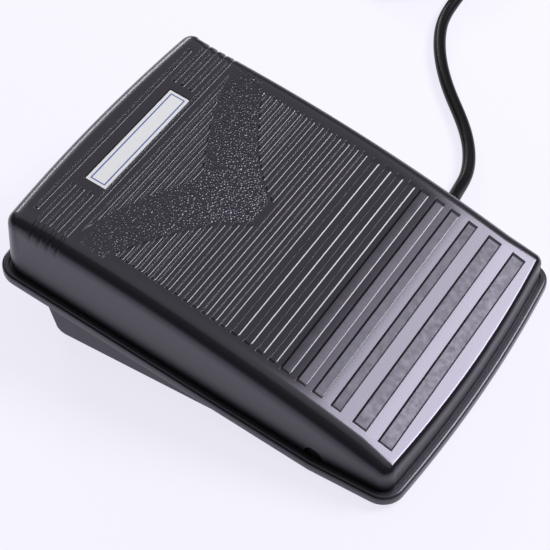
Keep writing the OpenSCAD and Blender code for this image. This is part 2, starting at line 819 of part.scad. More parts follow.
module plug_body() {
    color([0.1, 0.1, 0.1])
    translate([plug_x, plug_y + 16, plug_z]) difference() {
        union() {
            translate([-11, 0, -plug_z]) cube([22, 24, 2 * plug_z]);
            translate([-9, 20, -4.5]) cube([18, 9, 9]);
        }
        for (s = [-1, 1]) translate([4.5 * s, 0, 0]) y_rod(14, 4, 16);
        for (s = [-1, 1]) for (i = [0:3]) translate([11 * s - 0.8, 4 + 4 * i, -8]) cube([1.6, 1.6, 16]);
    }
}

module plug_contacts() {
    color([0.8, 0.65, 0.3])
    for (s = [-1, 1]) translate([plug_x + 4.5 * s, plug_y + 16, plug_z]) difference() {
        y_rod(14, 4, 13);
        y_rod(16, 2.4, 12);
    }
}

pedal_cover();
label_plate();
hinge_pins();
base_tub();
rubber_feet();
stop_bumpers();
return_springs();
circuit_board();
board_screws();
pot_body();
pot_slider();
heat_sink();
triac();
sink_screw();
choke_core();
choke_winding();
film_capacitor();
resistors();
diac();
terminal_block();
terminal_screws();
wire_live();
wire_return();
cord_clamp();
clamp_screws();
cord_gland();
cord_lead();
cord_tube();
cord_coil();
cord_tie();
cord_tail();
plug_boot();
plug_body();
plug_contacts();
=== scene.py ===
import math
from types import SimpleNamespace

import bpy
import numpy as np
from bpy.props import FloatProperty, FloatVectorProperty, PointerProperty
from bpy.types import Operator, Panel, PropertyGroup
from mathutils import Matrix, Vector


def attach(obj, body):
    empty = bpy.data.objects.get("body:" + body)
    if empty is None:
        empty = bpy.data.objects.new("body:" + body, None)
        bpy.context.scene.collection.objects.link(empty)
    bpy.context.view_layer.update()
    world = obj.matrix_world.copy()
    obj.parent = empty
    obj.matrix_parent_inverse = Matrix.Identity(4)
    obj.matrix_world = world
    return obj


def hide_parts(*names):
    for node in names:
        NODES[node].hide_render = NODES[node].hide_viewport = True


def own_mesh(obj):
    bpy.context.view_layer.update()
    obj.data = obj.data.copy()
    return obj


bl_info = {
    "name": "Sewing machine foot pedal",
    "version": (1, 0, 0),
    "blender": (4, 5, 0),
    "location": "3D View > Sidebar > Pedal",
    "description": "Ribbed cover, rim, springs, cord and finishes of a foot pedal, round its packed solids",
    "category": "Object",
}

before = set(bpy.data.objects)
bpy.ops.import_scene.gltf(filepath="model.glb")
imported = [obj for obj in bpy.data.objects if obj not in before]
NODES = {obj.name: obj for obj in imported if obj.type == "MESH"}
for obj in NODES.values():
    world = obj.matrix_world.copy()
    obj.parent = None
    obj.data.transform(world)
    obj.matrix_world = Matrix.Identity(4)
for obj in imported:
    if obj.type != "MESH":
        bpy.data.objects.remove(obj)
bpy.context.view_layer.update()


def length(name, text, value):
    """A length property in metres."""
    return FloatProperty(name=name, description=text, default=value, unit="LENGTH", precision=5)


def angle(name, text, degrees):
    """An angle property, written in degrees."""
    return FloatProperty(name=name, description=text, default=math.radians(degrees), subtype="ANGLE")


def colour(name, text, value):
    """A colour property, linear red, green and blue."""
    return FloatVectorProperty(name=name, description=text, default=value, size=3, subtype="COLOR",
                               min=0, max=1)


class PedalSizes(PropertyGroup):
    """Lengths of the cover, its tread and the cord."""

    body_w: length("Width", "Over the rim, side to side", 0.110)
    body_l: length("Length", "Over the rim, toe to heel", 0.152)
    top_h: length("Tread height", "Height of the tread's arc over the middle", 0.0362)
    top_r: length("Tread arc", "Radius of the tread's arc along the pedal", 0.567)
    top_y: length("Tread crown", "Place of the arc's crown, behind the heel", 0.1316)
    wall: length("Wall", "Thickness of the cover's wall", 0.0024)
    edge_r: length("Long edge", "Radius of the tread's two long edges", 0.0056)
    heel_r: length("Heel edge", "Radius of the tread's edge at the heel", 0.0045)
    toe_r: length("Toe edge", "Radius of the tread's edge at the toe", 0.003)
    plan_r: length("Corner", "Radius of the wall's corners in plan", 0.0045)
    toe_bow: length("Toe bow", "Rise of the bowed toe end", 0.003)
    heel_bow: length("Heel bow", "Rise of the bowed heel end", 0.0022)
    rim_out: length("Rim reach", "How far the rim stands out from the wall", 0.003)
    rim_h: length("Rim height", "Height of the rim's outer face", 0.0035)
    rim_z: length("Rim underside", "Height of the rim over the floor at the toe", 0.0016)
    hinge_y: length("Hinge place", "Place of the hinge along the pedal", -0.044)
    hinge_z: length("Hinge height", "Height of the hinge over the floor", 0.0057)
    groove_d: length("Groove depth", "Depth of the tread's grooves", 0.0006)
    tread_x: length("Groove reach", "Half length of the long grooves", 0.0437)
    label_l: length("Label length", "Length of the label plate", 0.0476)
    label_w: length("Label width", "Width of the label plate", 0.0076)
    label_y: length("Label place", "Place of the label plate along the pedal", 0.0541)
    cord_d: length("Cord", "Diameter of the cord", 0.0047)
    cord_y: length("Cord place", "Place along the pedal where the cord leaves", -0.0295)
    cord_z: length("Cord height", "Height at which the cord leaves", 0.0056)
    coil_x: length("Coil x", "Middle of the coil across the pedal", 0.188)
    coil_y: length("Coil y", "Middle of the coil along the pedal", 0.0543)
    coil_r: length("Coil radius", "Radius of the coil's outermost turn", 0.0329)
    coil_turn: length("Turn step", "Step from one turn of the coil to the next", 0.00475)
    spring_x: length("Spring place", "Place of each return spring off the middle", 0.034)
    spring_y: length("Spring row", "Place of the return springs along the pedal", 0.045)


class PedalAngles(PropertyGroup):
    """Slopes of the cover."""

    rim_slope: angle("Rim slope", "Rise of the rim behind the hinge", 9.4)
    heel_lean: angle("Heel lean", "Lean of the heel's end wall towards the toe", 4.0)


class PedalColours(PropertyGroup):
    """Colours of the pieces that the photo shows."""

    cover: colour("Cover", "Black moulded plastic", (0.018, 0.0165, 0.021))
    base: colour("Base", "Black moulded plastic of the base", (0.018, 0.0165, 0.021))
    rubber: colour("Rubber", "Feet, bumpers, gland and boot", (0.022, 0.022, 0.024))
    cord: colour("Cord", "Sheath of the cord", (0.0065, 0.006, 0.0075))
    label: colour("Label", "White plate", (0.85, 0.86, 0.89))
    border: colour("Border", "Printed line on the label", (0.12, 0.16, 0.42))
    floor: colour("Floor", "Pale floor", (0.9, 0.892, 0.985))


def sizes():
    """The lengths in millimetres, the slopes, and what follows from them."""
    group = bpy.context.scene.pedal_sizes
    s = SimpleNamespace(**{k: getattr(group, k) * 1000 for k in PedalSizes.__annotations__})
    s.rim_slope = bpy.context.scene.pedal_angles.rim_slope
    s.heel_lean = bpy.context.scene.pedal_angles.heel_lean
    s.hw = s.body_w / 2 - s.rim_out
    s.front = s.rim_out - s.body_l / 2
    s.back = s.body_l / 2 - s.rim_out
    s.top_c = s.top_h - math.sqrt(s.top_r**2 - s.top_y**2)
    s.heel_R = (s.body_w**2 / 4 + s.heel_bow**2) / (2 * s.heel_bow) - s.rim_out
    s.toe_R = (s.body_w**2 / 4 + s.toe_bow**2) / (2 * s.toe_bow) - s.rim_out
    return s


def tread_z(s, y):
    """Height of the tread: an arc of radius top_r about a centre under its crown."""
    return s.top_c + np.sqrt(s.top_r**2 - (y - s.top_y) ** 2)


def tread_up(s, y):
    """Unit normal of the tread's arc, from its centre to the place."""
    lift = np.sqrt(s.top_r**2 - (y - s.top_y) ** 2)
    return np.stack([0 * y, y - s.top_y, lift], -1) / s.top_r


def rim_line(s, y, up):
    """Height of a line set up above the rim's underside: level to the hinge, then rising with the rim."""
    rise = np.maximum(y - s.hinge_y, 0) * math.tan(s.rim_slope)
    return s.rim_z + up * np.where(y < s.hinge_y, 1.0, 1 / math.cos(s.rim_slope)) + rise


def chevron_low(y):
    """Half width of the chevron's plain band at its lower side, a parabola in the place along the pedal."""
    return 5.5 + 0.61 * (y - 6.7) + 0.0277 * (y - 6.7) ** 2


def chevron_high(y):
    """Half width of the chevron's plain band at its upper side, a parabola in the place along the pedal."""
    return 1.71 * (y - 29) + 0.028 * (y - 29) ** 2


# toe sides and widths of the long grooves, the short ones over the chevron, those that wrap over the edges,
# the one with slanting ends and the one nearest the heel, and the gaps round the label, in millimetres
PITCH = [2.37] * 7 + [2.9] + [3.4] * 6 + [4.53] * 4 + [5.6, 5.7, 5.7, 6.6, 9.1, 9.0]
LONG_Y = 32.9 - np.concatenate([[0], np.cumsum(PITCH)])
LONG_W = np.repeat([1.2, 1.5, 2.1, 3.5, 4.9], [9, 6, 4, 4, 2])
SHORT_Y = 31 + 2.35 * np.arange(6)
SHORT_W = 1.2
WRAP_Y = 48.75 + 3.3 * np.arange(4)
WRAP_W = np.array([1.1, 1.3, 1.3, 1.3])
SLANT_GROOVE = (45.2, 46.3)
HEEL_GROOVE = (62.3, 63.5)
LABEL_GAP = 0.3
WRAP_GAP = 3.6
# a groove's bevelled toe side, its ramped ends and its steep heel side:
# how far inside the edge, and the share of its depth
TOE_AT = [-0.56, -0.52, -0.48, -0.08, -0.04, 0.0, 0.08, 0.14]
TOE_SHARE = [0.0, 0.015, 0.055, 0.52, 0.58, 0.68, 0.96, 1.0]
# slope of that bevel in a groove of full depth
BEVEL_SLOPE = 0.6975
# share of the full depth and bevel in a narrow groove
NARROW = 0.68
END_AT = [0.0, 0.12, 1.2, 1.4]
END_SHARE = [0.0, 0.04, 0.96, 1.0]
SIDE_AT = [-0.04, -0.01, 0.03, 0.07]
SIDE_SHARE = [0.0, 0.1, 0.9, 1.0]
# a wide groove: its least width, its share of the full depth, the widths of its bevel and its gutter,
# and how much less its dark faces lean than the bevels that catch the light
WIDE = 3
WIDE_DEPTH = 0.7
WIDE_BEVEL = 0.38
GUTTER = 0.62
DARK_LEAN = math.radians(7.7)
# its rows at the toe side, and at the heel side with the gutter
WIDE_TOE = [-0.05, 0.0, 0.04, 0.34, 0.38, 0.42, 0.5]
WIDE_HEEL = [-0.1, -0.04, -0.02, 0.05, 0.09, 0.58, 0.62, 0.7]
# how far the pedal turns
TRAVEL = math.radians(4)


def bevel_share(width):
    """Share of the full depth and bevel that a groove of this width has."""
    return np.where(np.asarray(width) < 2, NARROW, 1.0)


def groove_depth(s, x, y):
    """Depth of the pattern under the tread's arc.

    For each groove, the distance inside its toe side goes through a bevelled step, inside its heel side
    through a steep one and inside its ends through a ramp, and the least of the three counts; a narrow
    groove is shallower with a bevel to match. A wide groove has a short bevel at its toe side, a flat floor,
    a gutter that falls away along its heel side, and short ramps at its ends. Where grooves meet, the
    deepest counts.
    """
    out = np.zeros(np.broadcast(x, y).shape)
    side = np.abs(x)

    # the bevels lean back by about the same angle from the upright all along the arched tread
    lean = np.radians(20 - 0.046 * y) + np.arcsin((s.top_y - y) / s.top_r)
    steep = np.tan(lean) / BEVEL_SLOPE
    turn = TOE_SHARE[3]

    def cut(low, high, ends, scale):
        """One groove by the distances inside its toe side, heel side and ends, and its share of the depth."""
        share = np.interp(low / min(scale, 1.0), TOE_AT, TOE_SHARE)
        share = np.where(share < turn, share * steep, 1 - (1 - share) * (1 - turn * steep) / (1 - turn))
        share = np.minimum(share, np.interp(high, SIDE_AT, SIDE_SHARE))
        share = np.minimum(share, np.interp(ends, END_AT, END_SHARE))
        np.maximum(out, s.groove_d * scale * share, out=out)

    def cut_wide(low, high, ends, bevel):
        """One wide groove: bevel and steep step to its middle, then floor and gutter to its heel side."""
        fall = np.tan(lean - DARK_LEAN)
        floor = WIDE_DEPTH * s.groove_d
        step = 10 * np.clip(low - WIDE_BEVEL, 0, 1)
        toe = np.minimum(np.tan(bevel) * np.clip(low, 0, WIDE_BEVEL) + step, floor)
        heel = (floor + fall * np.clip(GUTTER - high, 0, 0.57)) * np.interp(high, [-0.02, 0.05], [0, 1])
        depth = np.where(low < high, toe, heel) * np.interp(ends, [0.1, 0.7], [0, 1])
        np.maximum(out, depth, out=out)

    for y0, w in zip(LONG_Y, LONG_W):
        ends = s.tread_x - 0.012 * y0 - side
        if y0 > 6:
            ends = np.minimum(ends, side - chevron_low(y))
        if w < WIDE:
            cut(y - y0, y0 + w - y, ends, bevel_share(w))
        else:
            cut_wide(y - y0, y0 + w - y, ends, lean if y0 > -45 else lean - DARK_LEAN)
    for y0 in SHORT_Y:
        cut(y - y0, y0 + SHORT_W - y, chevron_high(y) - side, NARROW)
    low, high = SLANT_GROOVE
    cut(y - low, high - y, 36.7 + 4.45 * (y - low) - side, NARROW)
    for i, (y0, w) in enumerate(zip(WRAP_Y, WRAP_W)):
        cut(y - y0, y0 + w - y, side - s.label_l / 2 - WRAP_GAP if i else 0 * side + 2, NARROW)
    low, high = HEEL_GROOVE
    cut(y - low, high - y, s.tread_x - 0.4 - side, NARROW)
    across = s.label_w / 2 + LABEL_GAP - np.abs(y - s.label_y)
    cut(across + 1, np.minimum(across, s.label_l / 2 + LABEL_GAP - side), 0 * side + 2, 1 / s.groove_d)
    return out


def tread_rows(s):
    """Places along the pedal of the tread's rows: close rows at both sides of each groove, at the hinge's
    arch and the cord's outlet, and even rows between."""
    slim = LONG_W < WIDE
    low = np.concatenate([LONG_Y[slim], SHORT_Y, SLANT_GROOVE[:1], WRAP_Y,
                          [HEEL_GROOVE[0], s.label_y - s.label_w / 2 - LABEL_GAP]])
    high = np.concatenate([(LONG_Y + LONG_W)[slim], SHORT_Y + SHORT_W, SLANT_GROOVE[1:], WRAP_Y + WRAP_W,
                           [HEEL_GROOVE[1], s.label_y + s.label_w / 2 + LABEL_GAP]])
    toe = np.array([*TOE_AT, 0.22])
    heel = np.array([-0.1, *SIDE_AT, 0.14])
    arch = np.array([3.0, 2.93, 2.6, 2.1, 1.5, 0.8])
    arch = np.concatenate([-arch, [0], arch]) + s.hinge_y
    outlet = np.array([4.0, 3.96, 3.5, 2.8, 1.9, 0.9])
    outlet = np.concatenate([-outlet, [0], outlet]) + s.cord_y
    held = np.concatenate([arch, outlet])
    held = (held - s.edge_r * s.top_y / s.top_r) / (1 - s.edge_r / s.top_r)
    share = np.full(len(low), NARROW)
    share[:slim.sum()] = bevel_share(LONG_W[slim])
    lowest, highest = LONG_Y[-1] + TOE_AT[0], 64.4
    edges = np.concatenate([(low[:, None] + share[:, None] * toe).ravel(), (high[:, None] - heel).ravel(),
                            (LONG_Y[~slim, None] + WIDE_TOE).ravel(),
                            ((LONG_Y + LONG_W)[~slim, None] - WIDE_HEEL).ravel(), [lowest]])
    edges = edges[(edges >= lowest - 1e-6) & (edges <= highest)]
    even = np.arange(lowest + 0.6, highest, 1.2)
    gap = np.abs(even[:, None] - edges).min(1)
    rows = np.sort(np.concatenate([edges, even[gap > 0.5], [highest]]))
    rows = rows[np.abs(rows[:, None] - held).min(1) > 0.03]
    rows = np.sort(np.concatenate([rows, held]))
    return rows[np.concatenate([[True], np.diff(rows) > 0.015])]


def tread_columns(s, y, edge):
    """Places across the tread for each row: even steps between the pattern's bounds, close ones at each."""
    at = np.concatenate([[-90, 28.5], np.arange(29.5, 44.1, 0.5), [*SLANT_GROOVE, 50, 90]])
    inner = np.concatenate([[1.2, 1.2], chevron_high(np.arange(29.5, 44.1, 0.5)), [36.7, 41.6, 24.1, 24.1]])
    inner = np.interp(y, at, inner)
    end = s.tread_x - 0.012 * y
    middle = np.where(y < 6.7, 5.0, np.minimum(chevron_low(np.maximum(y, 6.7)), end - 1.2))
    middle = np.where(y > 46.5, np.interp(y, [46.5, 50], [42.0, s.label_l / 2 + WRAP_GAP]), middle)
    close = np.array([-1.5, -1.3, -0.7, -0.1, 0.1, 0.7, 1.3, 1.5])
    parts = [0 * y[:, None]]
    start = 0 * y
    for bound in (np.minimum(inner, middle), np.maximum(inner, middle), end):
        span = np.maximum(bound - 1.7 - start, 0)
        parts.append(start[:, None] + span[:, None] * np.linspace(0.25, 1, 4))
        parts.append(bound[:, None] + close)
        start = bound + 1.7
    parts.append(start[:, None] + np.maximum(edge - start, 0)[:, None] * np.linspace(0, 1, 4))
    half = np.sort(np.concatenate(parts, 1), 1)
    half = np.minimum(np.maximum(half, 0.05 * np.arange(half.shape[1])), edge[:, None])
    half[:, 0] = 0
    return np.concatenate([-half[:, :0:-1], half], 1)


def edge_ball(s, foot, out, lean, r):
    """Middle of the ball that rolls along the tread's rounded edge, over one place of the wall's foot.

    The wall leans in by an angle from its foot. The ball of radius r touches the wall and the tread from
    inside, so its middle is on the wall's line moved in by r, and r inside the tread's arc.
    """
    lean = np.broadcast_to(lean, out.shape[:1])[:, None]
    r = np.broadcast_to(r, out.shape[:1])[:, None]
    upright = np.array([0.0, 0.0, 1.0])
    normal = out * np.cos(lean) + upright * np.sin(lean)
    along = upright * np.cos(lean) - out * np.sin(lean)
    start = foot - r * normal
    dy, dz = start[:, 1] - s.top_y, start[:, 2] - s.top_c
    a = along[:, 1] ** 2 + along[:, 2] ** 2
    b = along[:, 1] * dy + along[:, 2] * dz
    c = dy**2 + dz**2 - (s.top_r - r[:, 0]) ** 2
    middle = start + along * ((-b + np.sqrt(b**2 - a * c)) / a)[:, None]
    return middle, normal


def ball_up(s, middle):
    """Direction from a ball's middle to the place where it touches the tread."""
    up = np.stack([0 * middle[:, 1], middle[:, 1] - s.top_y, middle[:, 2] - s.top_c], -1)
    return up / np.linalg.norm(up, axis=1)[:, None]


def ledge_z(s, y):
    """Height of the groove between the wall's foot and the rim."""
    return rim_line(s, y, s.rim_h - 1) - 0.3


def corner_fan(s, R, centre_y, sign, steps):
    """One rounded corner of the outline from the long side to the bowed end: places and directions out."""
    cx = s.hw - s.plan_r
    cy = centre_y + sign * math.sqrt((R - s.plan_r) ** 2 - cx**2)
    turn = math.pi / 2 - math.asin(cx / (R - s.plan_r))
    a = turn * np.linspace(0, 1, steps)
    out = np.stack([np.cos(a), sign * np.sin(a), 0 * a], -1)
    return np.array([cx, cy, 0]) + s.plan_r * out, out


def bowed_end(s, R, centre_y, sign, a):
    """Places and directions out along a bowed end, by the angle about its far centre."""
    out = np.stack([np.sin(a), sign * np.cos(a), 0 * a], -1)
    return np.array([0, centre_y, 0]) + R * out, out


def mirrored(v):
    """The same places on the other long side."""
    return v * np.array([-1.0, 1.0, 1.0])


def grid_faces(index):
    """Corner numbers of the quads of a grid of point numbers."""
    return np.stack([index[:-1, :-1], index[:-1, 1:], index[1:, 1:], index[1:, :-1]], -1).reshape(-1, 4)


def cover_shell(s):
    """Points, faces and point values of the cover's shell, closed all round.

    The tread is a grid of rows along the pedal and columns across it, lowered by the grooves' depth. From
    each place on the grid's border a line runs over the rounded edge (an arc turned from the tread's
    normal to the wall's), down the wall to its foot, and up the inside to the ceiling.
    """
    rows = tread_rows(s)
    heel_y, toe_y = s.back - s.heel_R, s.front + s.toe_R
    heel_fan, heel_fan_out = corner_fan(s, s.heel_R, heel_y, 1, 8)
    toe_fan, toe_fan_out = corner_fan(s, s.toe_R, toe_y, -1, 8)

    r_side = np.interp(rows, [-68, -58, 56, 66], [4.4, s.edge_r, s.edge_r, s.heel_r])
    foot_y = rows - r_side * (rows - s.top_y) / s.top_r
    foot = np.stack([0 * rows + s.hw, foot_y, ledge_z(s, foot_y)], -1)
    out = np.tile([1.0, 0, 0], (len(rows), 1))
    lean = np.interp(foot_y, [-20, 73], [0, 0.021])
    middle, normal = edge_ball(s, foot, out, lean, r_side)
    up = ball_up(s, middle)
    edge = (middle + r_side[:, None] * up)[:, 0]
    across = tread_columns(s, rows, edge)

    ends = {}
    for name, R, cy, sign, lean_end, r, row in (
            ("toe", s.toe_R, toe_y, -1, 0.0, s.toe_r, 0),
            ("heel", s.heel_R, heel_y, 1, s.heel_lean, s.heel_r, -1)):
        limit = math.asin((s.hw - s.plan_r) / (R - s.plan_r))
        a = limit * across[row] / edge[row]
        end_foot, end_out = bowed_end(s, R, cy, sign, a)
        end_foot[:, 2] = ledge_z(s, end_foot[:, 1])
        end_middle, end_normal = edge_ball(s, end_foot, end_out, lean_end, r)
        end_up = ball_up(s, end_middle)
        ends[name] = SimpleNamespace(foot=end_foot, out=end_out, middle=end_middle, normal=end_normal,
                                     up=end_up, r=np.full(len(a), r), base=end_middle + r * end_up)

    # the tread's grid, its first and last row bowed
    n_y, n_x = len(rows) + 2, across.shape[1]
    grid = np.stack([across, np.broadcast_to(rows[:, None], across.shape),
                     np.broadcast_to(tread_z(s, rows)[:, None], across.shape)], -1)
    depth = groove_depth(s, across, rows[:, None])
    plate = np.concatenate([ends["toe"].base[None], grid - depth[..., None] * tread_up(s, rows)[:, None],
                            ends["heel"].base[None]])
    deep = np.concatenate([np.zeros((1, n_x)), depth, np.zeros((1, n_x))])
    number = np.arange(n_y * n_x).reshape(n_y, n_x)

    # lines over the edge in order round the border: right side, heel, left side, toe
    def fan(end, spots, spots_out, corner):
        """Lines of a corner that share one place on the tread's border."""
        base = end.base[corner]
        k = len(spots)
        feet = spots.copy()
        feet[:, 2] = ledge_z(s, feet[:, 1])
        r = np.linspace(4.45, end.r[0], k)
        lean_k = np.linspace(0, math.asin(end.normal[corner, 2]), k)[:, None]
        normal_k = spots_out * np.cos(lean_k) + np.array([0, 0, 1.0]) * np.sin(lean_k)
        up_k = np.tile(end.up[corner], (k, 1))
        return SimpleNamespace(foot=feet, out=spots_out, normal=normal_k, up=up_k, r=r,
                               middle=base - r[:, None] * up_k)

    side = SimpleNamespace(foot=foot, out=out, normal=normal, up=up, r=r_side, middle=middle)
    heel_corner = fan(ends["heel"], heel_fan, heel_fan_out, -1)
    toe_corner = fan(ends["toe"], toe_fan, toe_fan_out, -1)

    def part(p, keep=slice(None), mirror=False):
        """One run of lines, picked, put in order and mirrored if asked."""
        flip = mirrored if mirror else (lambda v: v)
        return [*(flip(v[keep]) for v in (p.foot, p.out, p.normal, p.up, p.middle)), p.r[keep]]

    back = slice(None, None, -1)
    k_fan = len(heel_fan)
    runs = [(part(side), number[1:-1, -1], deep[1:-1, -1], 1),
            (part(heel_corner), np.full(k_fan, number[-1, -1]), np.zeros(k_fan), 0),
            (part(ends["heel"], slice(-2, 0, -1)), number[-1, -2:0:-1], np.zeros(n_x - 2), 0),
            (part(heel_corner, back, True), np.full(k_fan, number[-1, 0]), np.zeros(k_fan), 0),
            (part(side, back, True), number[-2:0:-1, 0], deep[-2:0:-1, 0], -1),
            (part(toe_corner, slice(None), True), np.full(k_fan, number[0, 0]), np.zeros(k_fan), 0),
            (part(ends["toe"], slice(1, -1)), number[0, 1:-1], np.zeros(n_x - 2), 0),
            (part(toe_corner, back), np.full(k_fan, number[0, -1]), np.zeros(k_fan), 0)]
    foot, out, normal, up, middle, r = (np.concatenate([run[0][i] for run in runs]) for i in range(6))
    border = np.concatenate([run[1] for run in runs])
    wrap = np.concatenate([run[2] for run in runs])
    which = np.concatenate([np.full(len(run[1]), run[3]) for run in runs])

    # over the edge: the normal turns evenly from the tread's to the wall's
    turn = np.arccos(np.clip((up * normal).sum(1), -1, 1))[:, None, None]
    f = np.linspace(0, 1, 9)[1:][None, :, None]
    swing = (np.sin((1 - f) * turn) * up[:, None] + np.sin(f * turn) * normal[:, None]) / np.sin(turn)
    ease = np.array([1, 1, 1, 1, 0.95, 0.8, 0.45, 0])[None, :, None]
    arc = middle[:, None] + (r[:, None, None] - wrap[:, None, None] * ease) * swing
    top = middle + r[:, None] * normal

    # down the wall, with the hinge's arch on both sides and the cord's outlet on the right
    y = foot[:, 1]
    dy = y - s.hinge_y
    in_arch = (which != 0) & (np.abs(dy) < 2.95)
    spring = rim_line(s, y, s.rim_h - 1) + s.hinge_z - s.rim_z - s.rim_h + 1
    arch = spring + np.where(in_arch, np.sqrt(np.maximum(9 - dy**2, 0)), 0)
    dc = y - s.cord_y
    in_outlet = (which == 1) & (np.abs(dc) < 3.98)
    outlet = s.cord_z + 1.3 + np.sqrt(np.maximum(16 - dc**2, 0))
    low = np.where(in_outlet, np.maximum(foot[:, 2], outlet), foot[:, 2])
    high = top[:, 2]
    fade = np.maximum(high - 1.5, arch + 0.9)
    levels = np.stack([fade, (fade + arch + 0.4) / 2, arch + 0.4, arch + 0.12, arch + 0.03, arch - 0.03,
                       arch - 0.12, (arch + foot[:, 2]) / 2, foot[:, 2]], 1)
    least = low[:, None] + np.array([1.2, 1.0, 0.8, 0.6, 0.5, 0.4, 0.3, 0.15, 0])
    levels = np.where(in_outlet[:, None], np.maximum(levels, least), levels)
    share = (levels - foot[:, 2:]) / (high - foot[:, 2])[:, None]
    wall = foot[:, None] + share[..., None] * (top - foot)[:, None]
    wall[:, 5:] -= np.where(in_arch, 1.2, 0)[:, None, None] * out[:, None]
    inner = np.stack([wall[:, -1] - s.wall * out, top - s.wall * normal - np.array([0, 0, 0.4])], 1)
    inner[in_arch, 0] += 0.9 * out[in_arch]
    lines = np.concatenate([arc, wall, inner], 1)

    # the ceiling under the border, and the faces between all these points
    unique, which_border = np.unique(border, return_inverse=True)
    first_of = np.zeros(len(unique), int)
    first_of[which_border[::-1]] = np.arange(len(border))[::-1]
    flat = plate.reshape(-1, 3)
    drop = np.zeros(len(flat))
    drop[border] = wrap
    ceiling = flat[unique] - (s.wall - drop[unique])[:, None] * up[first_of]
    n_plate, n_lines = len(flat), lines.shape[0] * lines.shape[1]
    line_no = n_plate + np.arange(n_lines).reshape(lines.shape[:2])
    ceiling_no = n_plate + n_lines + which_border
    index = np.concatenate([border[:, None], line_no, ceiling_no[:, None]], 1)
    index = np.concatenate([index, index[:1]])
    under = np.zeros(n_plate, int)
    under[unique] = n_plate + n_lines + np.arange(len(unique))
    right, left = under[number[:, -1]], under[number[:, 0]]
    strips = np.stack([right[:-1], right[1:], left[1:], left[:-1]], 1)
    faces = [grid_faces(number), grid_faces(index), strips,
             under[number[-1]][None], under[number[0, ::-1]][None]]

    # where the chevron's grain, the wear in the grooves and the duller edges lie; the duller edges and walls
    # are also painted lighter, a painted lift of the shade at the wall's foot
    points = np.concatenate([flat, lines.reshape(-1, 3), ceiling])
    x, yy = np.abs(points[:, 0]), points[:, 1]
    band = np.clip((x - chevron_high(np.maximum(yy, 5))) / 0.6, 0, 1) * np.clip((yy - 6.9) / 0.5, 0, 1)
    band *= np.clip((chevron_low(np.maximum(yy, 6.7)) - x) / 0.6, 0, 1) * np.clip((45.0 - yy) / 0.5, 0, 1)
    band[n_plate:] = 0
    groove = np.zeros(len(points))
    groove[:n_plate] = np.clip(deep.ravel() / (NARROW * s.groove_d), 0, 1)
    worn = groove * np.clip((-24 - yy) / 18, 0, 1)
    satin_and_painted_light = np.zeros(len(points))
    steps = np.arange(lines.shape[1])
    at_side, at_heel = (which != 0)[:, None], ((which == 0) & (y > 0))[:, None]
    # duller edges and walls, and the tread near its long edges: the finish also paints their colour lighter,
    # a painted lift of their shade
    dull_and_painted_light = np.where(at_side, np.interp(steps, [0, 7], [0.35, 1]), np.interp(steps, [1, 7], [0, 1]))
    dull_and_painted_light = np.where(at_heel, np.interp(steps, [0, 7], [0.5, 0.6]), dull_and_painted_light)
    satin_and_painted_light[n_plate:n_plate + n_lines] = dull_and_painted_light.ravel()
    satin_and_painted_light[:n_plate] = 0.32 * np.clip((x[:n_plate] - 44.2) / 3.5, 0, 1)
    return points, faces, {"grain": band * (1 - groove), "worn": worn, "satin_and_painted_light": satin_and_painted_light}


def outline_path(s, gap):
    """The wall's outline in plan, from one side of the cord's outlet all the way round to its other side."""
    heel_y, toe_y = s.back - s.heel_R, s.front + s.toe_R
    heel_fan, heel_out = corner_fan(s, s.heel_R, heel_y, 1, 9)
    toe_fan, toe_out = corner_fan(s, s.toe_R, toe_y, -1, 9)
    heel_a = np.linspace(1, -1, 31)[1:-1] * math.asin((s.hw - s.plan_r) / (s.heel_R - s.plan_r))
    toe_a = np.linspace(-1, 1, 31)[1:-1] * math.asin((s.hw - s.plan_r) / (s.toe_R - s.plan_r))
    heel, heel_bow_out = bowed_end(s, s.heel_R, heel_y, 1, heel_a)
    toe, toe_bow_out = bowed_end(s, s.toe_R, toe_y, -1, toe_a)

    def side(y, x):
        """A straight run along one long side."""
        return np.stack([0 * y + x * s.hw, y, 0 * y], -1), np.tile([float(x), 0, 0], (len(y), 1))

    bend = s.hinge_y + np.array([-1.2, -0.8, -0.4, 0, 0.4, 0.8, 1.2])
    first = np.linspace(s.cord_y + gap, heel_fan[0, 1], 24)[:-1]
    far = np.concatenate([np.linspace(heel_fan[0, 1], bend[-1], 30)[1:], bend[::-1][1:],
                          np.linspace(bend[0], toe_fan[0, 1], 8)[1:-1]])
    last = np.concatenate([np.linspace(toe_fan[0, 1], bend[0], 8)[1:], bend[1:],
                           np.linspace(bend[-1], s.cord_y - gap, 5)[1:]])
    runs = [side(first, 1), (heel_fan, heel_out), (heel, heel_bow_out),
            (mirrored(heel_fan)[::-1], mirrored(heel_out)[::-1]), side(far, -1),
            (mirrored(toe_fan), mirrored(toe_out)), (toe, toe_bow_out),
            (toe_fan[::-1], toe_out[::-1]), side(last, 1)]
    return np.concatenate([run[0] for run in runs]), np.concatenate([run[1] for run in runs])


def round_corners(profile, radii, steps=4):
    """A closed profile with each corner replaced by a parabola between the two places at its radius."""
    p = np.array(profile, float)
    before, after = np.roll(p, 1, 0) - p, np.roll(p, -1, 0) - p
    r = np.array(radii, float)[:, None]
    a = p + r * before / np.linalg.norm(before, axis=1)[:, None]
    b = p + r * after / np.linalg.norm(after, axis=1)[:, None]
    t = np.linspace(0, 1, steps)[None, :, None]
    curve = a[:, None] * (1 - t) ** 2 + 2 * p[:, None] * t * (1 - t) + b[:, None] * t**2
    return curve.reshape(-1, 2)


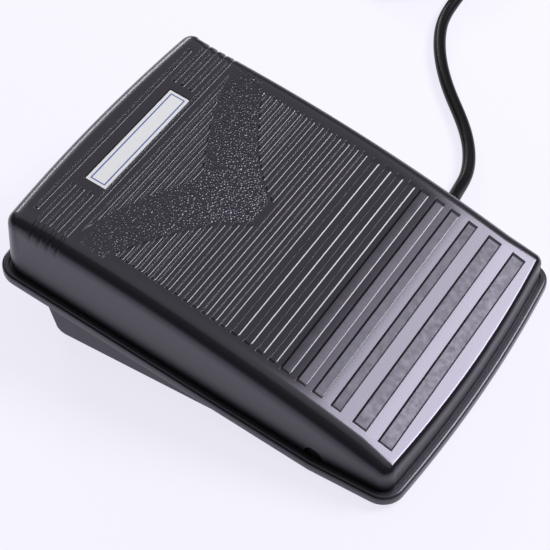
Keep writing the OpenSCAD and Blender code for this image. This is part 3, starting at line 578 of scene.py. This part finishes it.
def cover_rim(s):
    """The flange round the wall's foot: a profile of offset and height carried along the outline, which rises
    behind the hinge."""
    h, o = s.rim_h, s.rim_out
    profile = round_corners(
        [(-0.4, 0), (o, 0), (o, h), (0.7, h), (0.7, h - 1), (-2.4, h - 1), (-2.4, 1.5), (-0.4, 1.5)],
        [0.15, 0.45, 1.4, 0.25, 0.1, 0.1, 0.1, 0.1], 7)
    place, out = outline_path(s, 4.0)
    ring = place[:, None] + profile[None, :, :1] * out[:, None]
    stretch = np.where(ring[..., 1] < s.hinge_y, 1, 1 / math.cos(s.rim_slope))
    ring[..., 2] = rim_line(s, ring[..., 1], 0) + profile[None, :, 1] * stretch
    n, m = ring.shape[:2]
    index = np.arange(n * m).reshape(n, m)
    around = np.concatenate([index, index[:, :1]], 1)
    return ring.reshape(-1, 3), [grid_faces(around), index[:1, ::-1], index[-1:]]


def block(low, high):
    """A plain block between two corners: eight points and six faces."""
    corners = np.array([[i, j, k] for k in (0, 1) for j in (0, 1) for i in (0, 1)])
    points = np.array(low) + corners * (np.array(high) - np.array(low))
    return points, np.array([[0, 2, 3, 1], [4, 5, 7, 6], [0, 1, 5, 4],
                             [2, 6, 7, 3], [0, 4, 6, 2], [1, 3, 7, 5]])


def turned(profile, x, y, sides=28):
    """A turned form: a profile of radius and height carried round an upright axis, both ends closed flat."""
    a = np.linspace(0, 2 * np.pi, sides, endpoint=False)
    p = np.array(profile, float)
    height = np.broadcast_to(p[:, 1:], (len(p), sides))
    points = np.stack([x + p[:, :1] * np.cos(a), y + p[:, :1] * np.sin(a), height], -1)
    index = np.arange(len(p) * sides).reshape(len(p), sides)
    around = np.concatenate([index, index[:, :1]], 1)
    return points.reshape(-1, 3), [grid_faces(around), index[:1, ::-1], index[-1:]]


def cover_works(s):
    """What hangs under the cover's ceiling: spring seats, stop pads, the slider's fork and two ribs."""
    def under(y):
        """Height just inside the ceiling, a wall's thickness under the tread."""
        return float(tread_z(s, np.array(float(y)))) - s.wall + 0.2

    solids = []
    seat = float(tread_z(s, np.array(s.spring_y))) - 7.1
    for x in (-1, 1):
        top = under(s.spring_y)
        solids.append(turned([(1.1, seat - 5), (1.5, seat - 4.4), (1.5, seat), (6.2, seat),
                              (6.5, seat + 0.3), (6.5, top)], x * s.spring_x, s.spring_y))
        stop = 25 + (47 - s.hinge_y) * math.sin(TRAVEL) + 0.7
        solids.append(turned([(3.2, stop), (3.5, stop + 0.3), (3.5, under(47))], x * 14, 47))
        p, q = block((x * 14 - 1, 38, seat), (x * 14 + 1, 56, under(40)))
        solids.append((p, [q]))
    for low, high in (((-6, 12.3, 23.6), (-2.5, 15.3, under(13))), ((2.5, 12.3, 23.6), (6, 15.3, under(13))),
                      ((-2.5, 12.3, 28.5), (2.5, 15.3, under(13))), ((-2.5, 12.3, 23.6), (2.5, 15.3, 25.5)),
                      ((-49.8, -20, under(-20) - 3.3), (49.8, -18.4, under(-20))),
                      ((-49.8, 34, under(34) - 3.3), (49.8, 35.6, under(34)))):
        p, q = block(low, high)
        solids.append((p, [q]))
    points, faces, count = [], [], 0
    for p, f in solids:
        points.append(p)
        faces += [one + count for one in f]
        count += len(p)
    return np.concatenate(points), faces


def smooth_path(points, steps):
    """A curve through points: on each span the cubic whose ends follow the points on either side."""
    p = np.array(points, float)
    a, b, c, d = (p[np.clip(np.arange(len(p) - 1) + k, 0, len(p) - 1)][:, None] for k in (-1, 0, 1, 2))
    t = np.linspace(0, 1, steps, endpoint=False)[None, :, None]
    curve = b + t * ((c - a) / 2 + t * (a - 2.5 * b + 2 * c - d / 2 + t * (1.5 * b - 1.5 * c + (d - a) / 2)))
    return np.concatenate([curve.reshape(-1, 3), p[-1:]])


def rod(path, radius, sides):
    """A round rod: a circle square to the path at each of its points, and a flat face on both ends."""
    way = np.gradient(path, axis=0)
    way /= np.linalg.norm(way, axis=1)[:, None]
    across = np.cross(way, [0, 0, 1.0])
    across /= np.linalg.norm(across, axis=1)[:, None]
    over = np.cross(across, way)
    a = np.linspace(0, 2 * np.pi, sides, endpoint=False)[None, :, None]
    points = path[:, None] + radius * (np.cos(a) * across[:, None] + np.sin(a) * over[:, None])
    index = np.arange(points.shape[0] * sides).reshape(-1, sides)
    around = np.concatenate([index, index[:, :1]], 1)
    return points.reshape(-1, 3), [grid_faces(around), index[:1, ::-1], index[-1:]]


def cord_path(s):
    """The cord's whole line: out of the gland and over the floor, three turns inwards in a flat coil, a climb
    of one diameter, three and a quarter turns outwards on top of them, and the tail into the plug's boot.

    The part on the floor is evened out by taking each point's mean with its neighbours again and again.
    """
    x, y, z = s.hw + 10, s.cord_y, s.cord_z
    low, rest = s.cord_d / 2 + 0.05, s.cord_d / 2 + 0.3
    route = [(x, y, z), (x + 1.5, y, z), (x + 4, y + 0.1, z - 0.3), (x + 8, y + 1, 4.1), (76, -27.7, 2.9),
             (82, -26.7, low), (89, -23.8, low), (97, -19, low), (106.5, -10.7, low), (115, -1.5, low),
             (126.5, 8, low), (136.5, 14.3, low), (146, 18.7, low), (154, 20.4, low), (162, 21, low),
             (175, 21.3, rest), (s.coil_x, s.coil_y - s.coil_r, rest)]
    turns = np.arange(0, 6.25 + 1e-9, 1 / 48)[1:]
    radius = s.coil_r - s.coil_turn * (3 - np.abs(turns - 3))
    climb = np.clip((turns - 2.85) / 0.3, 0, 1)
    height = rest + s.coil_turn * climb**2 * (3 - 2 * climb)
    a = 2 * np.pi * turns - np.pi / 2
    coil = np.stack([s.coil_x + radius * np.cos(a), s.coil_y + radius * np.sin(a), height], -1)
    end = coil[-1]
    tail = [end, end + [0.1, 10, -0.3], end + [0, 22, -1.5], end + [-0.05, 34, -1.6],
            (222, 94.3, 6), (222, 98.3, 6)]
    line = smooth_path(route, 8)
    for _ in range(40):
        line[16:-1] = (line[15:-2] + 2 * line[16:-1] + line[17:]) / 4
    return np.concatenate([line, coil[:-1], smooth_path(tail, 8)])


def spring_path(s, x, low, high, mean, wire, turns):
    """A coil spring's line: a helix whose end turns lie flat."""
    a = np.linspace(0, turns, int(turns * 28) + 1)
    rise = np.interp(a, [0, 1, turns - 1, turns], [0, 0.06, 0.94, 1.0])
    z = low + wire / 2 + rise * (high - low - wire)
    return np.stack([x + mean * np.cos(2 * np.pi * a), s.spring_y + mean * np.sin(2 * np.pi * a), z], -1)


def tie_band(s):
    """The flat band round the coil's turns: a thin section carried round a box with round corners."""
    a = math.radians(200)
    inside, outside, high = s.coil_r - 3 * s.coil_turn - 2.6, s.coil_r + 2.6, 2.65 + s.coil_turn + 2.6
    corner = round_corners([(inside, 0.05), (outside, 0.05), (outside, high), (inside, high)],
                           [1.6, 1.6, 2, 2], 7)
    way = np.roll(corner, -1, 0) - np.roll(corner, 1, 0)
    out = np.stack([way[:, 1], -way[:, 0]], -1) / np.linalg.norm(way, axis=1)[:, None]
    inner, outer = corner, corner + 0.55 * out
    outer[:, 1] = np.maximum(outer[:, 1], 0.02)
    section = [(inner, -2.4), (outer, -2.5), (outer, 2.5), (inner, 2.4)]
    ring = np.stack([np.stack([p[:, 0], np.full(len(p), w), p[:, 1]], -1) for p, w in section], 1)
    turn = np.array([[math.cos(a), -math.sin(a), 0], [math.sin(a), math.cos(a), 0], [0, 0, 1]])
    points = ring.reshape(-1, 3) @ turn.T + np.array([s.coil_x, s.coil_y, 0])
    index = np.arange(len(points)).reshape(-1, 4)
    index = np.concatenate([index, index[:1]])
    return points, [grid_faces(np.concatenate([index, index[:, :1]], 1))]


def make_piece(name, points, faces, body, finish, values=None, sharp=50):
    """A mesh object from points in millimetres and arrays of corner numbers, smooth but for its sharp edges.

    Faces with a repeated corner lose it, faces that point inwards as a whole are turned round.
    """
    arrays = []
    for f in faces:
        if f.shape[1] != 4:
            arrays.append(f)
            continue
        same = [f[:, k] == f[:, (k + 1) % 4] for k in range(4)]
        arrays.append(f[~np.any(same, 0)])
        for k in range(4):
            only = same[k] & (np.sum(same, 0) == 1)
            arrays.append(np.delete(f[only], k, 1))
    arrays = [f for f in arrays if len(f)]
    volume = 0.0
    for f in arrays:
        for k in range(1, f.shape[1] - 1):
            volume += (points[f[:, 0]] * np.cross(points[f[:, k]], points[f[:, k + 1]])).sum()
    if volume < 0:
        arrays = [f[:, ::-1] for f in arrays]
    corners = np.concatenate([f.ravel() for f in arrays])
    counts = np.concatenate([np.full(len(f), f.shape[1]) for f in arrays])
    mesh = bpy.data.meshes.new(name)
    mesh.vertices.add(len(points))
    mesh.vertices.foreach_set("co", (points * 0.001).astype(np.float32).ravel())
    mesh.loops.add(len(corners))
    mesh.loops.foreach_set("vertex_index", corners.astype(np.int32))
    mesh.polygons.add(len(counts))
    mesh.polygons.foreach_set("loop_start", np.concatenate([[0], np.cumsum(counts)[:-1]]).astype(np.int32))
    for key, value in (values or {}).items():
        mesh.attributes.new(key, "FLOAT", "POINT").data.foreach_set("value", value.astype(np.float32))
    mesh.update(calc_edges=True)
    mesh.validate()
    mesh.polygons.foreach_set("use_smooth", np.ones(len(mesh.polygons), bool))
    mesh.set_sharp_from_angle(angle=math.radians(sharp))
    mesh.materials.append(finish)
    piece = bpy.data.objects.new(name, mesh)
    bpy.context.scene.collection.objects.link(piece)
    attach(piece, body)
    return piece


class Link:
    """One output of a shader node; arithmetic on it adds Math nodes."""

    def __init__(self, finish, socket):
        self.finish, self.socket = finish, socket

    def math(self, operation, *values):
        return self.finish.node("ShaderNodeMath", {"operation": operation}, dict(enumerate(values)))

    def __add__(self, other):
        return self.math("ADD", self, other)

    def __radd__(self, other):
        return self.math("ADD", other, self)

    def __sub__(self, other):
        return self.math("SUBTRACT", self, other)

    def __rsub__(self, other):
        return self.math("SUBTRACT", other, self)

    def __mul__(self, other):
        return self.math("MULTIPLY", self, other)

    def __rmul__(self, other):
        return self.math("MULTIPLY", other, self)

    def above(self, other):
        return self.math("GREATER_THAN", self, other)

    def size(self):
        return self.math("ABSOLUTE", self)


class Finish:
    """A material whose constant values sit on its shader, and whose pattern comes from nodes."""

    def __init__(self, name, base, roughness, metallic=0.0, **constants):
        self.material = bpy.data.materials.new(name)
        self.material.use_nodes = True
        self.tree = self.material.node_tree
        self.shader = self.tree.nodes["Principled BSDF"]
        self.set("Base Color", (*base, 1))
        self.set("Roughness", roughness)
        self.set("Metallic", metallic)
        for key, value in constants.items():
            self.set(key.replace("_", " "), value)

    def feed(self, socket, value):
        if isinstance(value, Link):
            self.tree.links.new(value.socket, socket)
        else:
            socket.default_value = value

    def set(self, name, value):
        self.feed(self.shader.inputs[name], value)

    def node(self, kind, settings=None, sockets=None, output=0):
        made = self.tree.nodes.new(kind)
        for key, value in (settings or {}).items():
            setattr(made, key, value)
        for key, value in (sockets or {}).items():
            self.feed(made.inputs[key], value)
        return Link(self, made.outputs[output])

    def place(self):
        return self.node("ShaderNodeTexCoord", output="Object")

    def noise(self, scale, detail=2.0, stretch=None):
        at = self.place()
        if stretch:
            at = self.node("ShaderNodeMapping", None, {"Vector": at, "Scale": stretch})
        return self.node("ShaderNodeTexNoise", None,
                         {"Vector": at, "Scale": scale, "Detail": detail, "Roughness": 0.55})

    def value(self, name):
        return self.node("ShaderNodeAttribute", {"attribute_name": name}, output="Fac")

    def mix(self, share, first, second):
        pair = [v if isinstance(v, Link) else (*v, 1) for v in (first, second)]
        return self.node("ShaderNodeMix", {"data_type": "RGBA"}, {0: share, 6: pair[0], 7: pair[1]}, 2)

    def bump(self, height, distance, strength=1.0):
        self.set("Normal", self.node("ShaderNodeBump", None,
                                     {"Strength": strength, "Distance": distance, "Height": height}))


def shade(base, by):
    """A colour made lighter or darker by a factor."""
    return tuple(min(1.0, c * by) for c in base)


def grained(name, base, roughness, scale=900.0, depth=0.00002, spread=0.08, metallic=0.0, stretch=None,
            **constants):
    """A finish with a fine grain: noise shifts its colour and roughness a little and makes its bump."""
    f = Finish(name, base, roughness, metallic, **constants)
    fine = f.noise(scale, 2.0, stretch)
    broad = f.noise(scale / 18, 3.0)
    f.set("Base Color", f.mix(broad, shade(base, 0.86), shade(base, 1.16)))
    f.set("Roughness", roughness - spread + 2 * spread * fine)
    f.bump(fine, depth, 0.5)
    return f.material


def cover_finish(base):
    """Glossy black: a faint moulded skin, duller mottled floors in the wide grooves, duller edges and walls
    whose colour is painted lighter as painted light that lifts their shade, and grain on the chevron's plain
    band."""
    f = Finish("cover_gloss", base, 0.12, IOR=1.6, Coat_Roughness=0.4, Specular_Tint=(0.83, 0.79, 1.0, 1.0))
    worn, grain, satin_and_painted_light = f.value("worn"), f.value("grain"), f.value("satin_and_painted_light")
    fine = f.noise(2400, 2.0)
    cells = f.node("ShaderNodeTexVoronoi", {"feature": "SMOOTH_F1"},
                   {"Vector": f.place(), "Scale": 1350.0, "Smoothness": 0.3})
    mottle = f.noise(480, 5.0)
    broad = f.noise(45, 3.0)
    tone = f.mix(broad, shade(base, 0.85), shade(base, 1.15))
    # the base colour goes towards a lighter copy: on the duller edges, walls and rim as painted light that
    # lifts their shade, in the wide grooves as dull mottled wear
    f.set("Base Color", f.mix(satin_and_painted_light * 0.6 + worn * (0.2 + 0.6 * mottle), tone, shade(base, 2.0)))
    f.set("Roughness", 0.06 + 0.02 * fine + 0.03 * broad + 0.34 * satin_and_painted_light + 0.1 * worn + 0.36 * worn * mottle)
    f.set("Coat Weight", satin_and_painted_light * 0.42)
    f.bump((0.4 - cells) * grain * 2.4 + mottle * worn * 0.04 + fine * 0.03, 0.00012, 0.8)
    return f.material


def label_finish(base, border, s):
    """White plate with a thin printed border, placed by the plate's own coordinates."""
    f = Finish("label_print", base, 0.28)
    xyz = f.place()
    x = f.node("ShaderNodeSeparateXYZ", None, {0: xyz}, 0) * 1000
    y = f.node("ShaderNodeSeparateXYZ", None, {0: xyz}, 1) * 1000 - s.label_y
    fine = f.noise(1600, 2.0)
    in_outer = (s.label_l / 2 - 1.0 - x.size()).above(0) * (s.label_w / 2 - 1.0 - y.size()).above(0)
    in_inner = (s.label_l / 2 - 1.5 - x.size()).above(0) * (s.label_w / 2 - 1.5 - y.size()).above(0)
    line = in_outer - in_inner
    f.set("Base Color", f.mix(line, f.mix(fine, shade(base, 0.96), base), border))
    f.set("Roughness", 0.26 + 0.08 * fine)
    f.bump(fine, 0.00001, 0.4)
    return f.material


def cord_finish(base):
    """Satin sheath: faint mottling and a fine skin."""
    f = Finish("cord_sheath", base, 0.3, Specular_IOR_Level=0.13)
    fine = f.noise(1500, 3.0)
    broad = f.noise(120, 3.0)
    f.set("Base Color", f.mix(broad, shade(base, 0.8), shade(base, 1.25)))
    f.set("Roughness", 0.28 + 0.1 * fine)
    f.bump(fine, 0.00003, 0.5)
    return f.material


def winding_finish(base):
    """Enamelled copper wire: a tone that shifts from place to place under a clear coat."""
    f = Finish("winding_enamel", base, 0.3, 0.9, Coat_Weight=0.4)
    f.set("Base Color", f.mix(f.noise(300, 2.0), shade(base, 0.8), shade(base, 1.15)))
    f.set("Roughness", 0.26 + 0.12 * f.noise(700, 2.0))
    f.bump(f.noise(900, 2.0), 0.00004, 0.5)
    return f.material


class PEDAL_OT_camera(Operator):
    """Sets the camera at the photo's viewing angle"""

    bl_idname = "pedal.camera"
    bl_label = "Camera"

    def execute(self, context):
        data = bpy.data.cameras.new("camera")
        data.lens, data.sensor_width, data.sensor_fit = 114.025, 36.0, "HORIZONTAL"
        data.clip_start, data.clip_end = 0.01, 50.0
        camera = bpy.data.objects.new("camera", data)
        camera.location = (-0.31676, -0.19616, 0.44457)
        camera.rotation_euler = (math.radians(90 - 49.279), 0, math.radians(-57.965))
        context.scene.collection.objects.link(camera)
        context.scene.camera = camera
        return {"FINISHED"}


class PEDAL_OT_cord(Operator):
    """Builds the cord with its coil and tie"""

    bl_idname = "pedal.cord"
    bl_label = "Cord"

    def execute(self, context):
        s, c = sizes(), context.scene.pedal_colours
        sheath = cord_finish(tuple(c.cord))
        path = cord_path(s)
        points, faces = rod(path, s.cord_d / 2, 16)
        cord = make_piece("cord", points, faces, "base", sheath)
        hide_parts("cord_tube", "cord_coil", "cord_tail")
        points, faces = tie_band(s)
        band = grained("tie_band", (0.03, 0.03, 0.033), 0.4, 1200)
        tie = make_piece("coil_tie", points, faces, "base", band)
        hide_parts("cord_tie")
        return {"FINISHED"}


class PEDAL_OT_cover(Operator):
    """Builds the ribbed cover, its rim and what hangs under it"""

    bl_idname = "pedal.cover"
    bl_label = "Cover"

    def execute(self, context):
        s, c = sizes(), context.scene.pedal_colours
        gloss = cover_finish(tuple(c.cover))
        points, faces, values = cover_shell(s)
        shell = make_piece("cover_shell", points, faces, "pedal", gloss, values, 60)
        points, faces = cover_rim(s)
        # the rim is duller, and its colour is painted lighter as a painted lift of its shade
        values = {"satin_and_painted_light": np.full(len(points), 0.6)}
        make_piece("cover_rim", points, faces, "pedal", gloss, values)
        points, faces = cover_works(s)
        # what hangs under the ceiling is duller, and its colour is painted lighter in the same way
        values = {"satin_and_painted_light": np.ones(len(points))}
        make_piece("cover_works", points, faces, "pedal", gloss, values)
        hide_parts("pedal_cover")
        return {"FINISHED"}


class PEDAL_OT_springs(Operator):
    """Builds the two return springs"""

    bl_idname = "pedal.springs"
    bl_label = "Return springs"

    def execute(self, context):
        s = sizes()
        steel = grained("spring_steel", (0.55, 0.56, 0.58), 0.28, 1500, 0.00001, 0.06, 1.0)
        low, high = 14.05, float(tread_z(s, np.array(s.spring_y))) - 7.15
        left = rod(spring_path(s, -s.spring_x, low, high, 4.6, 1.2, 6), 0.6, 10)
        right = rod(spring_path(s, s.spring_x, low, high, 4.6, 1.2, 6), 0.6, 10)
        points = np.concatenate([left[0], right[0]])
        faces = left[1] + [f + len(left[0]) for f in right[1]]
        springs = make_piece("springs", points, faces, "base", steel)
        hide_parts("return_springs")
        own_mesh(springs)
        return {"FINISHED"}


class PEDAL_OT_finishes(Operator):
    """Gives each solid that stays its own finish"""

    bl_idname = "pedal.finishes"
    bl_label = "Finishes"

    def execute(self, context):
        s, c = sizes(), context.scene.pedal_colours
        rubber = grained("rubber_matt", tuple(c.rubber), 0.62, 1300, 0.00003)
        steel = grained("zinc_steel", (0.58, 0.59, 0.61), 0.3, 1400, 0.00001, 0.07, 1.0)
        black = grained("moulded_black", (0.02, 0.02, 0.021), 0.38, 1500, 0.00002)
        kinds = {
            "base_tub": grained("base_grain", tuple(c.base), 0.34, 1500, 0.00002, IOR=1.6,
                                Specular_Tint=(0.8, 0.75, 1.0, 1.0)),
            "hinge_pins": grained("pin_blackened", (0.03, 0.029, 0.033), 0.3, 1500, 0.00001),
            "label_plate": label_finish(tuple(c.label), tuple(c.border), s),
            "rubber_feet": rubber, "stop_bumpers": rubber, "cord_gland": rubber, "plug_boot": rubber,
            "board_screws": steel, "sink_screw": steel, "terminal_screws": steel, "clamp_screws": steel,
            "circuit_board": grained("paper_laminate", (0.33, 0.19, 0.065), 0.45, 700, 0.00002, 0.1, 0.0,
                                     (1, 6, 1)),
            "pot_body": grained("pot_case", (0.06, 0.09, 0.16), 0.4),
            "pot_slider": grained("cream_acetal", (0.62, 0.58, 0.48), 0.35),
            "heat_sink": grained("extruded_aluminium", (0.66, 0.67, 0.69), 0.34, 500, 0.00002, 0.08, 1.0,
                                 (8, 8, 1)),
            "triac": black, "plug_body": grained("plug_satin", (0.018, 0.018, 0.019), 0.36, 1500, 0.00002),
            "choke_core": grained("powder_core", (0.5, 0.38, 0.05), 0.5, 1800, 0.00003),
            "choke_winding": winding_finish((0.62, 0.24, 0.09)),
            "film_capacitor": grained("dipped_red", (0.42, 0.05, 0.035), 0.22, 800, 0.00002),
            "resistors": grained("tan_lacquer", (0.5, 0.34, 0.17), 0.3, 900, 0.00001),
            "diac": grained("diac_case", (0.05, 0.1, 0.34), 0.25, 900, 0.00001),
            "terminal_block": grained("green_polyamide", (0.03, 0.24, 0.1), 0.4, 1200, 0.00002),
            "wire_live": grained("brown_sheath", (0.14, 0.06, 0.03), 0.42, 1500, 0.00001),
            "wire_return": grained("blue_sheath", (0.03, 0.09, 0.36), 0.42, 1500, 0.00001),
            "cord_clamp": grained("grey_polyamide", (0.17, 0.17, 0.17), 0.42, 1200, 0.00002),
            "cord_lead": cord_finish(tuple(c.cord)),
            "plug_contacts": grained("tinned_brass", (0.72, 0.56, 0.26), 0.26, 1200, 0.00001, 0.06, 1.0),
        }
        for name, finish in kinds.items():
            mesh = NODES[name].data
            mesh.materials.clear()
            mesh.materials.append(finish)
        return {"FINISHED"}


class PEDAL_OT_stage(Operator):
    """Lays the pale floor and sets the soft studio lights"""

    bl_idname = "pedal.stage"
    bl_label = "Stage"

    def execute(self, context):
        tint = tuple(context.scene.pedal_colours.floor)
        f = Finish("floor_paper", tint, 0.9, Specular_IOR_Level=0.1)
        f.set("Base Color", f.mix(f.noise(3.0, 2.0), shade(tint, 0.188), shade(tint, 0.19)))
        camera = f.node("ShaderNodeLightPath", output="Is Camera Ray")
        glossy = f.node("ShaderNodeLightPath", output="Is Glossy Ray")
        through = f.node("ShaderNodeLightPath", output="Is Transmission Ray")
        seen = camera.math("MINIMUM", camera + glossy + through, 1.0)
        glow = f.node("ShaderNodeEmission", None, {"Color": (*tint, 1), "Strength": seen * 0.87})
        both = f.node("ShaderNodeAddShader", None, {0: Link(f, f.shader.outputs[0]), 1: glow})
        f.feed(f.tree.nodes["Material Output"].inputs["Surface"], both)
        mesh = bpy.data.meshes.new("floor")
        mesh.from_pydata([(-4, -4, 0), (4, -4, 0), (4, 4, 0), (-4, 4, 0)], [], [(0, 1, 2, 3)])
        mesh.materials.append(f.material)
        floor = bpy.data.objects.new("floor", mesh)
        context.scene.collection.objects.link(floor)

        def softbox(name, place, size, aim, radiance):
            """A rectangular softbox turned to a place: its power is its radiance times its area times pi."""
            lamp = bpy.data.lights.new(name, "AREA")
            lamp.shape, lamp.size, lamp.size_y = "RECTANGLE", *size
            lamp.energy = radiance * size[0] * size[1] * math.pi
            lamp.color = (1.0, 0.99, 0.99)
            light = bpy.data.objects.new(name, lamp)
            light.location = place
            light.rotation_euler = (Vector(aim) - Vector(place)).to_track_quat("-Z", "Y").to_euler()
            context.scene.collection.objects.link(light)

        softbox("toe_softbox", (1.08, -0.945, 1.45), (0.95, 0.69), (1.08, -0.945, 0), 11.5)
        softbox("fade_softbox", (1.08, -0.52, 1.45), (0.95, 0.16), (1.08, -0.52, 0), 8.3)
        softbox("edge_softbox", (1.08, -0.4, 1.45), (0.95, 0.08), (1.08, -0.4, 0), 2.2)
        softbox("lip_softbox", (1.2, -1.08, 1.35), (0.9, 0.4), (1.2, -1.08, 0), 9.0)
        softbox("top_softbox", (0.85, 0.3, 1.5), (2.7, 3.2), (0.85, 0.3, 0), 0.56)
        softbox("back_softbox", (1.0, 1.3, 0.66), (0.9, 0.3), (0, 0, 0.03), 10.5)
        world = context.scene.world or bpy.data.worlds.new("studio")
        context.scene.world = world
        world.use_nodes = True
        background = world.node_tree.nodes["Background"]
        background.inputs["Color"].default_value = (0.94, 0.94, 1.0, 1)
        background.inputs["Strength"].default_value = 0.05
        context.scene.view_settings.view_transform = "Standard"
        return {"FINISHED"}


class PEDAL_PT_sidebar(Panel):
    """Lists the pedal's steps and sizes"""

    bl_idname = "PEDAL_PT_sidebar"
    bl_label = "Foot pedal"
    bl_space_type = "VIEW_3D"
    bl_region_type = "UI"
    bl_category = "Pedal"

    def draw(self, context):
        for step in STEPS:
            self.layout.operator(step.bl_idname)
        for group in (context.scene.pedal_sizes, context.scene.pedal_angles, context.scene.pedal_colours):
            for key in type(group).__annotations__:
                self.layout.prop(group, key)


GROUPS = {"pedal_sizes": PedalSizes, "pedal_angles": PedalAngles, "pedal_colours": PedalColours}
STEPS = (PEDAL_OT_camera, PEDAL_OT_cord, PEDAL_OT_cover, PEDAL_OT_springs, PEDAL_OT_finishes, PEDAL_OT_stage)


def register():
    for one in (*GROUPS.values(), *STEPS, PEDAL_PT_sidebar):
        bpy.utils.register_class(one)
    for key, group in GROUPS.items():
        setattr(bpy.types.Scene, key, PointerProperty(type=group))


def unregister():
    for key in GROUPS:
        delattr(bpy.types.Scene, key)
    for one in (PEDAL_PT_sidebar, *STEPS[::-1], *GROUPS.values()):
        bpy.utils.unregister_class(one)


def main():
    register()
    bpy.ops.pedal.camera()
    bpy.ops.pedal.cord()
    bpy.ops.pedal.cover()
    bpy.ops.pedal.springs()
    bpy.ops.pedal.finishes()
    bpy.ops.pedal.stage()


if __name__ == "__main__":
    main()
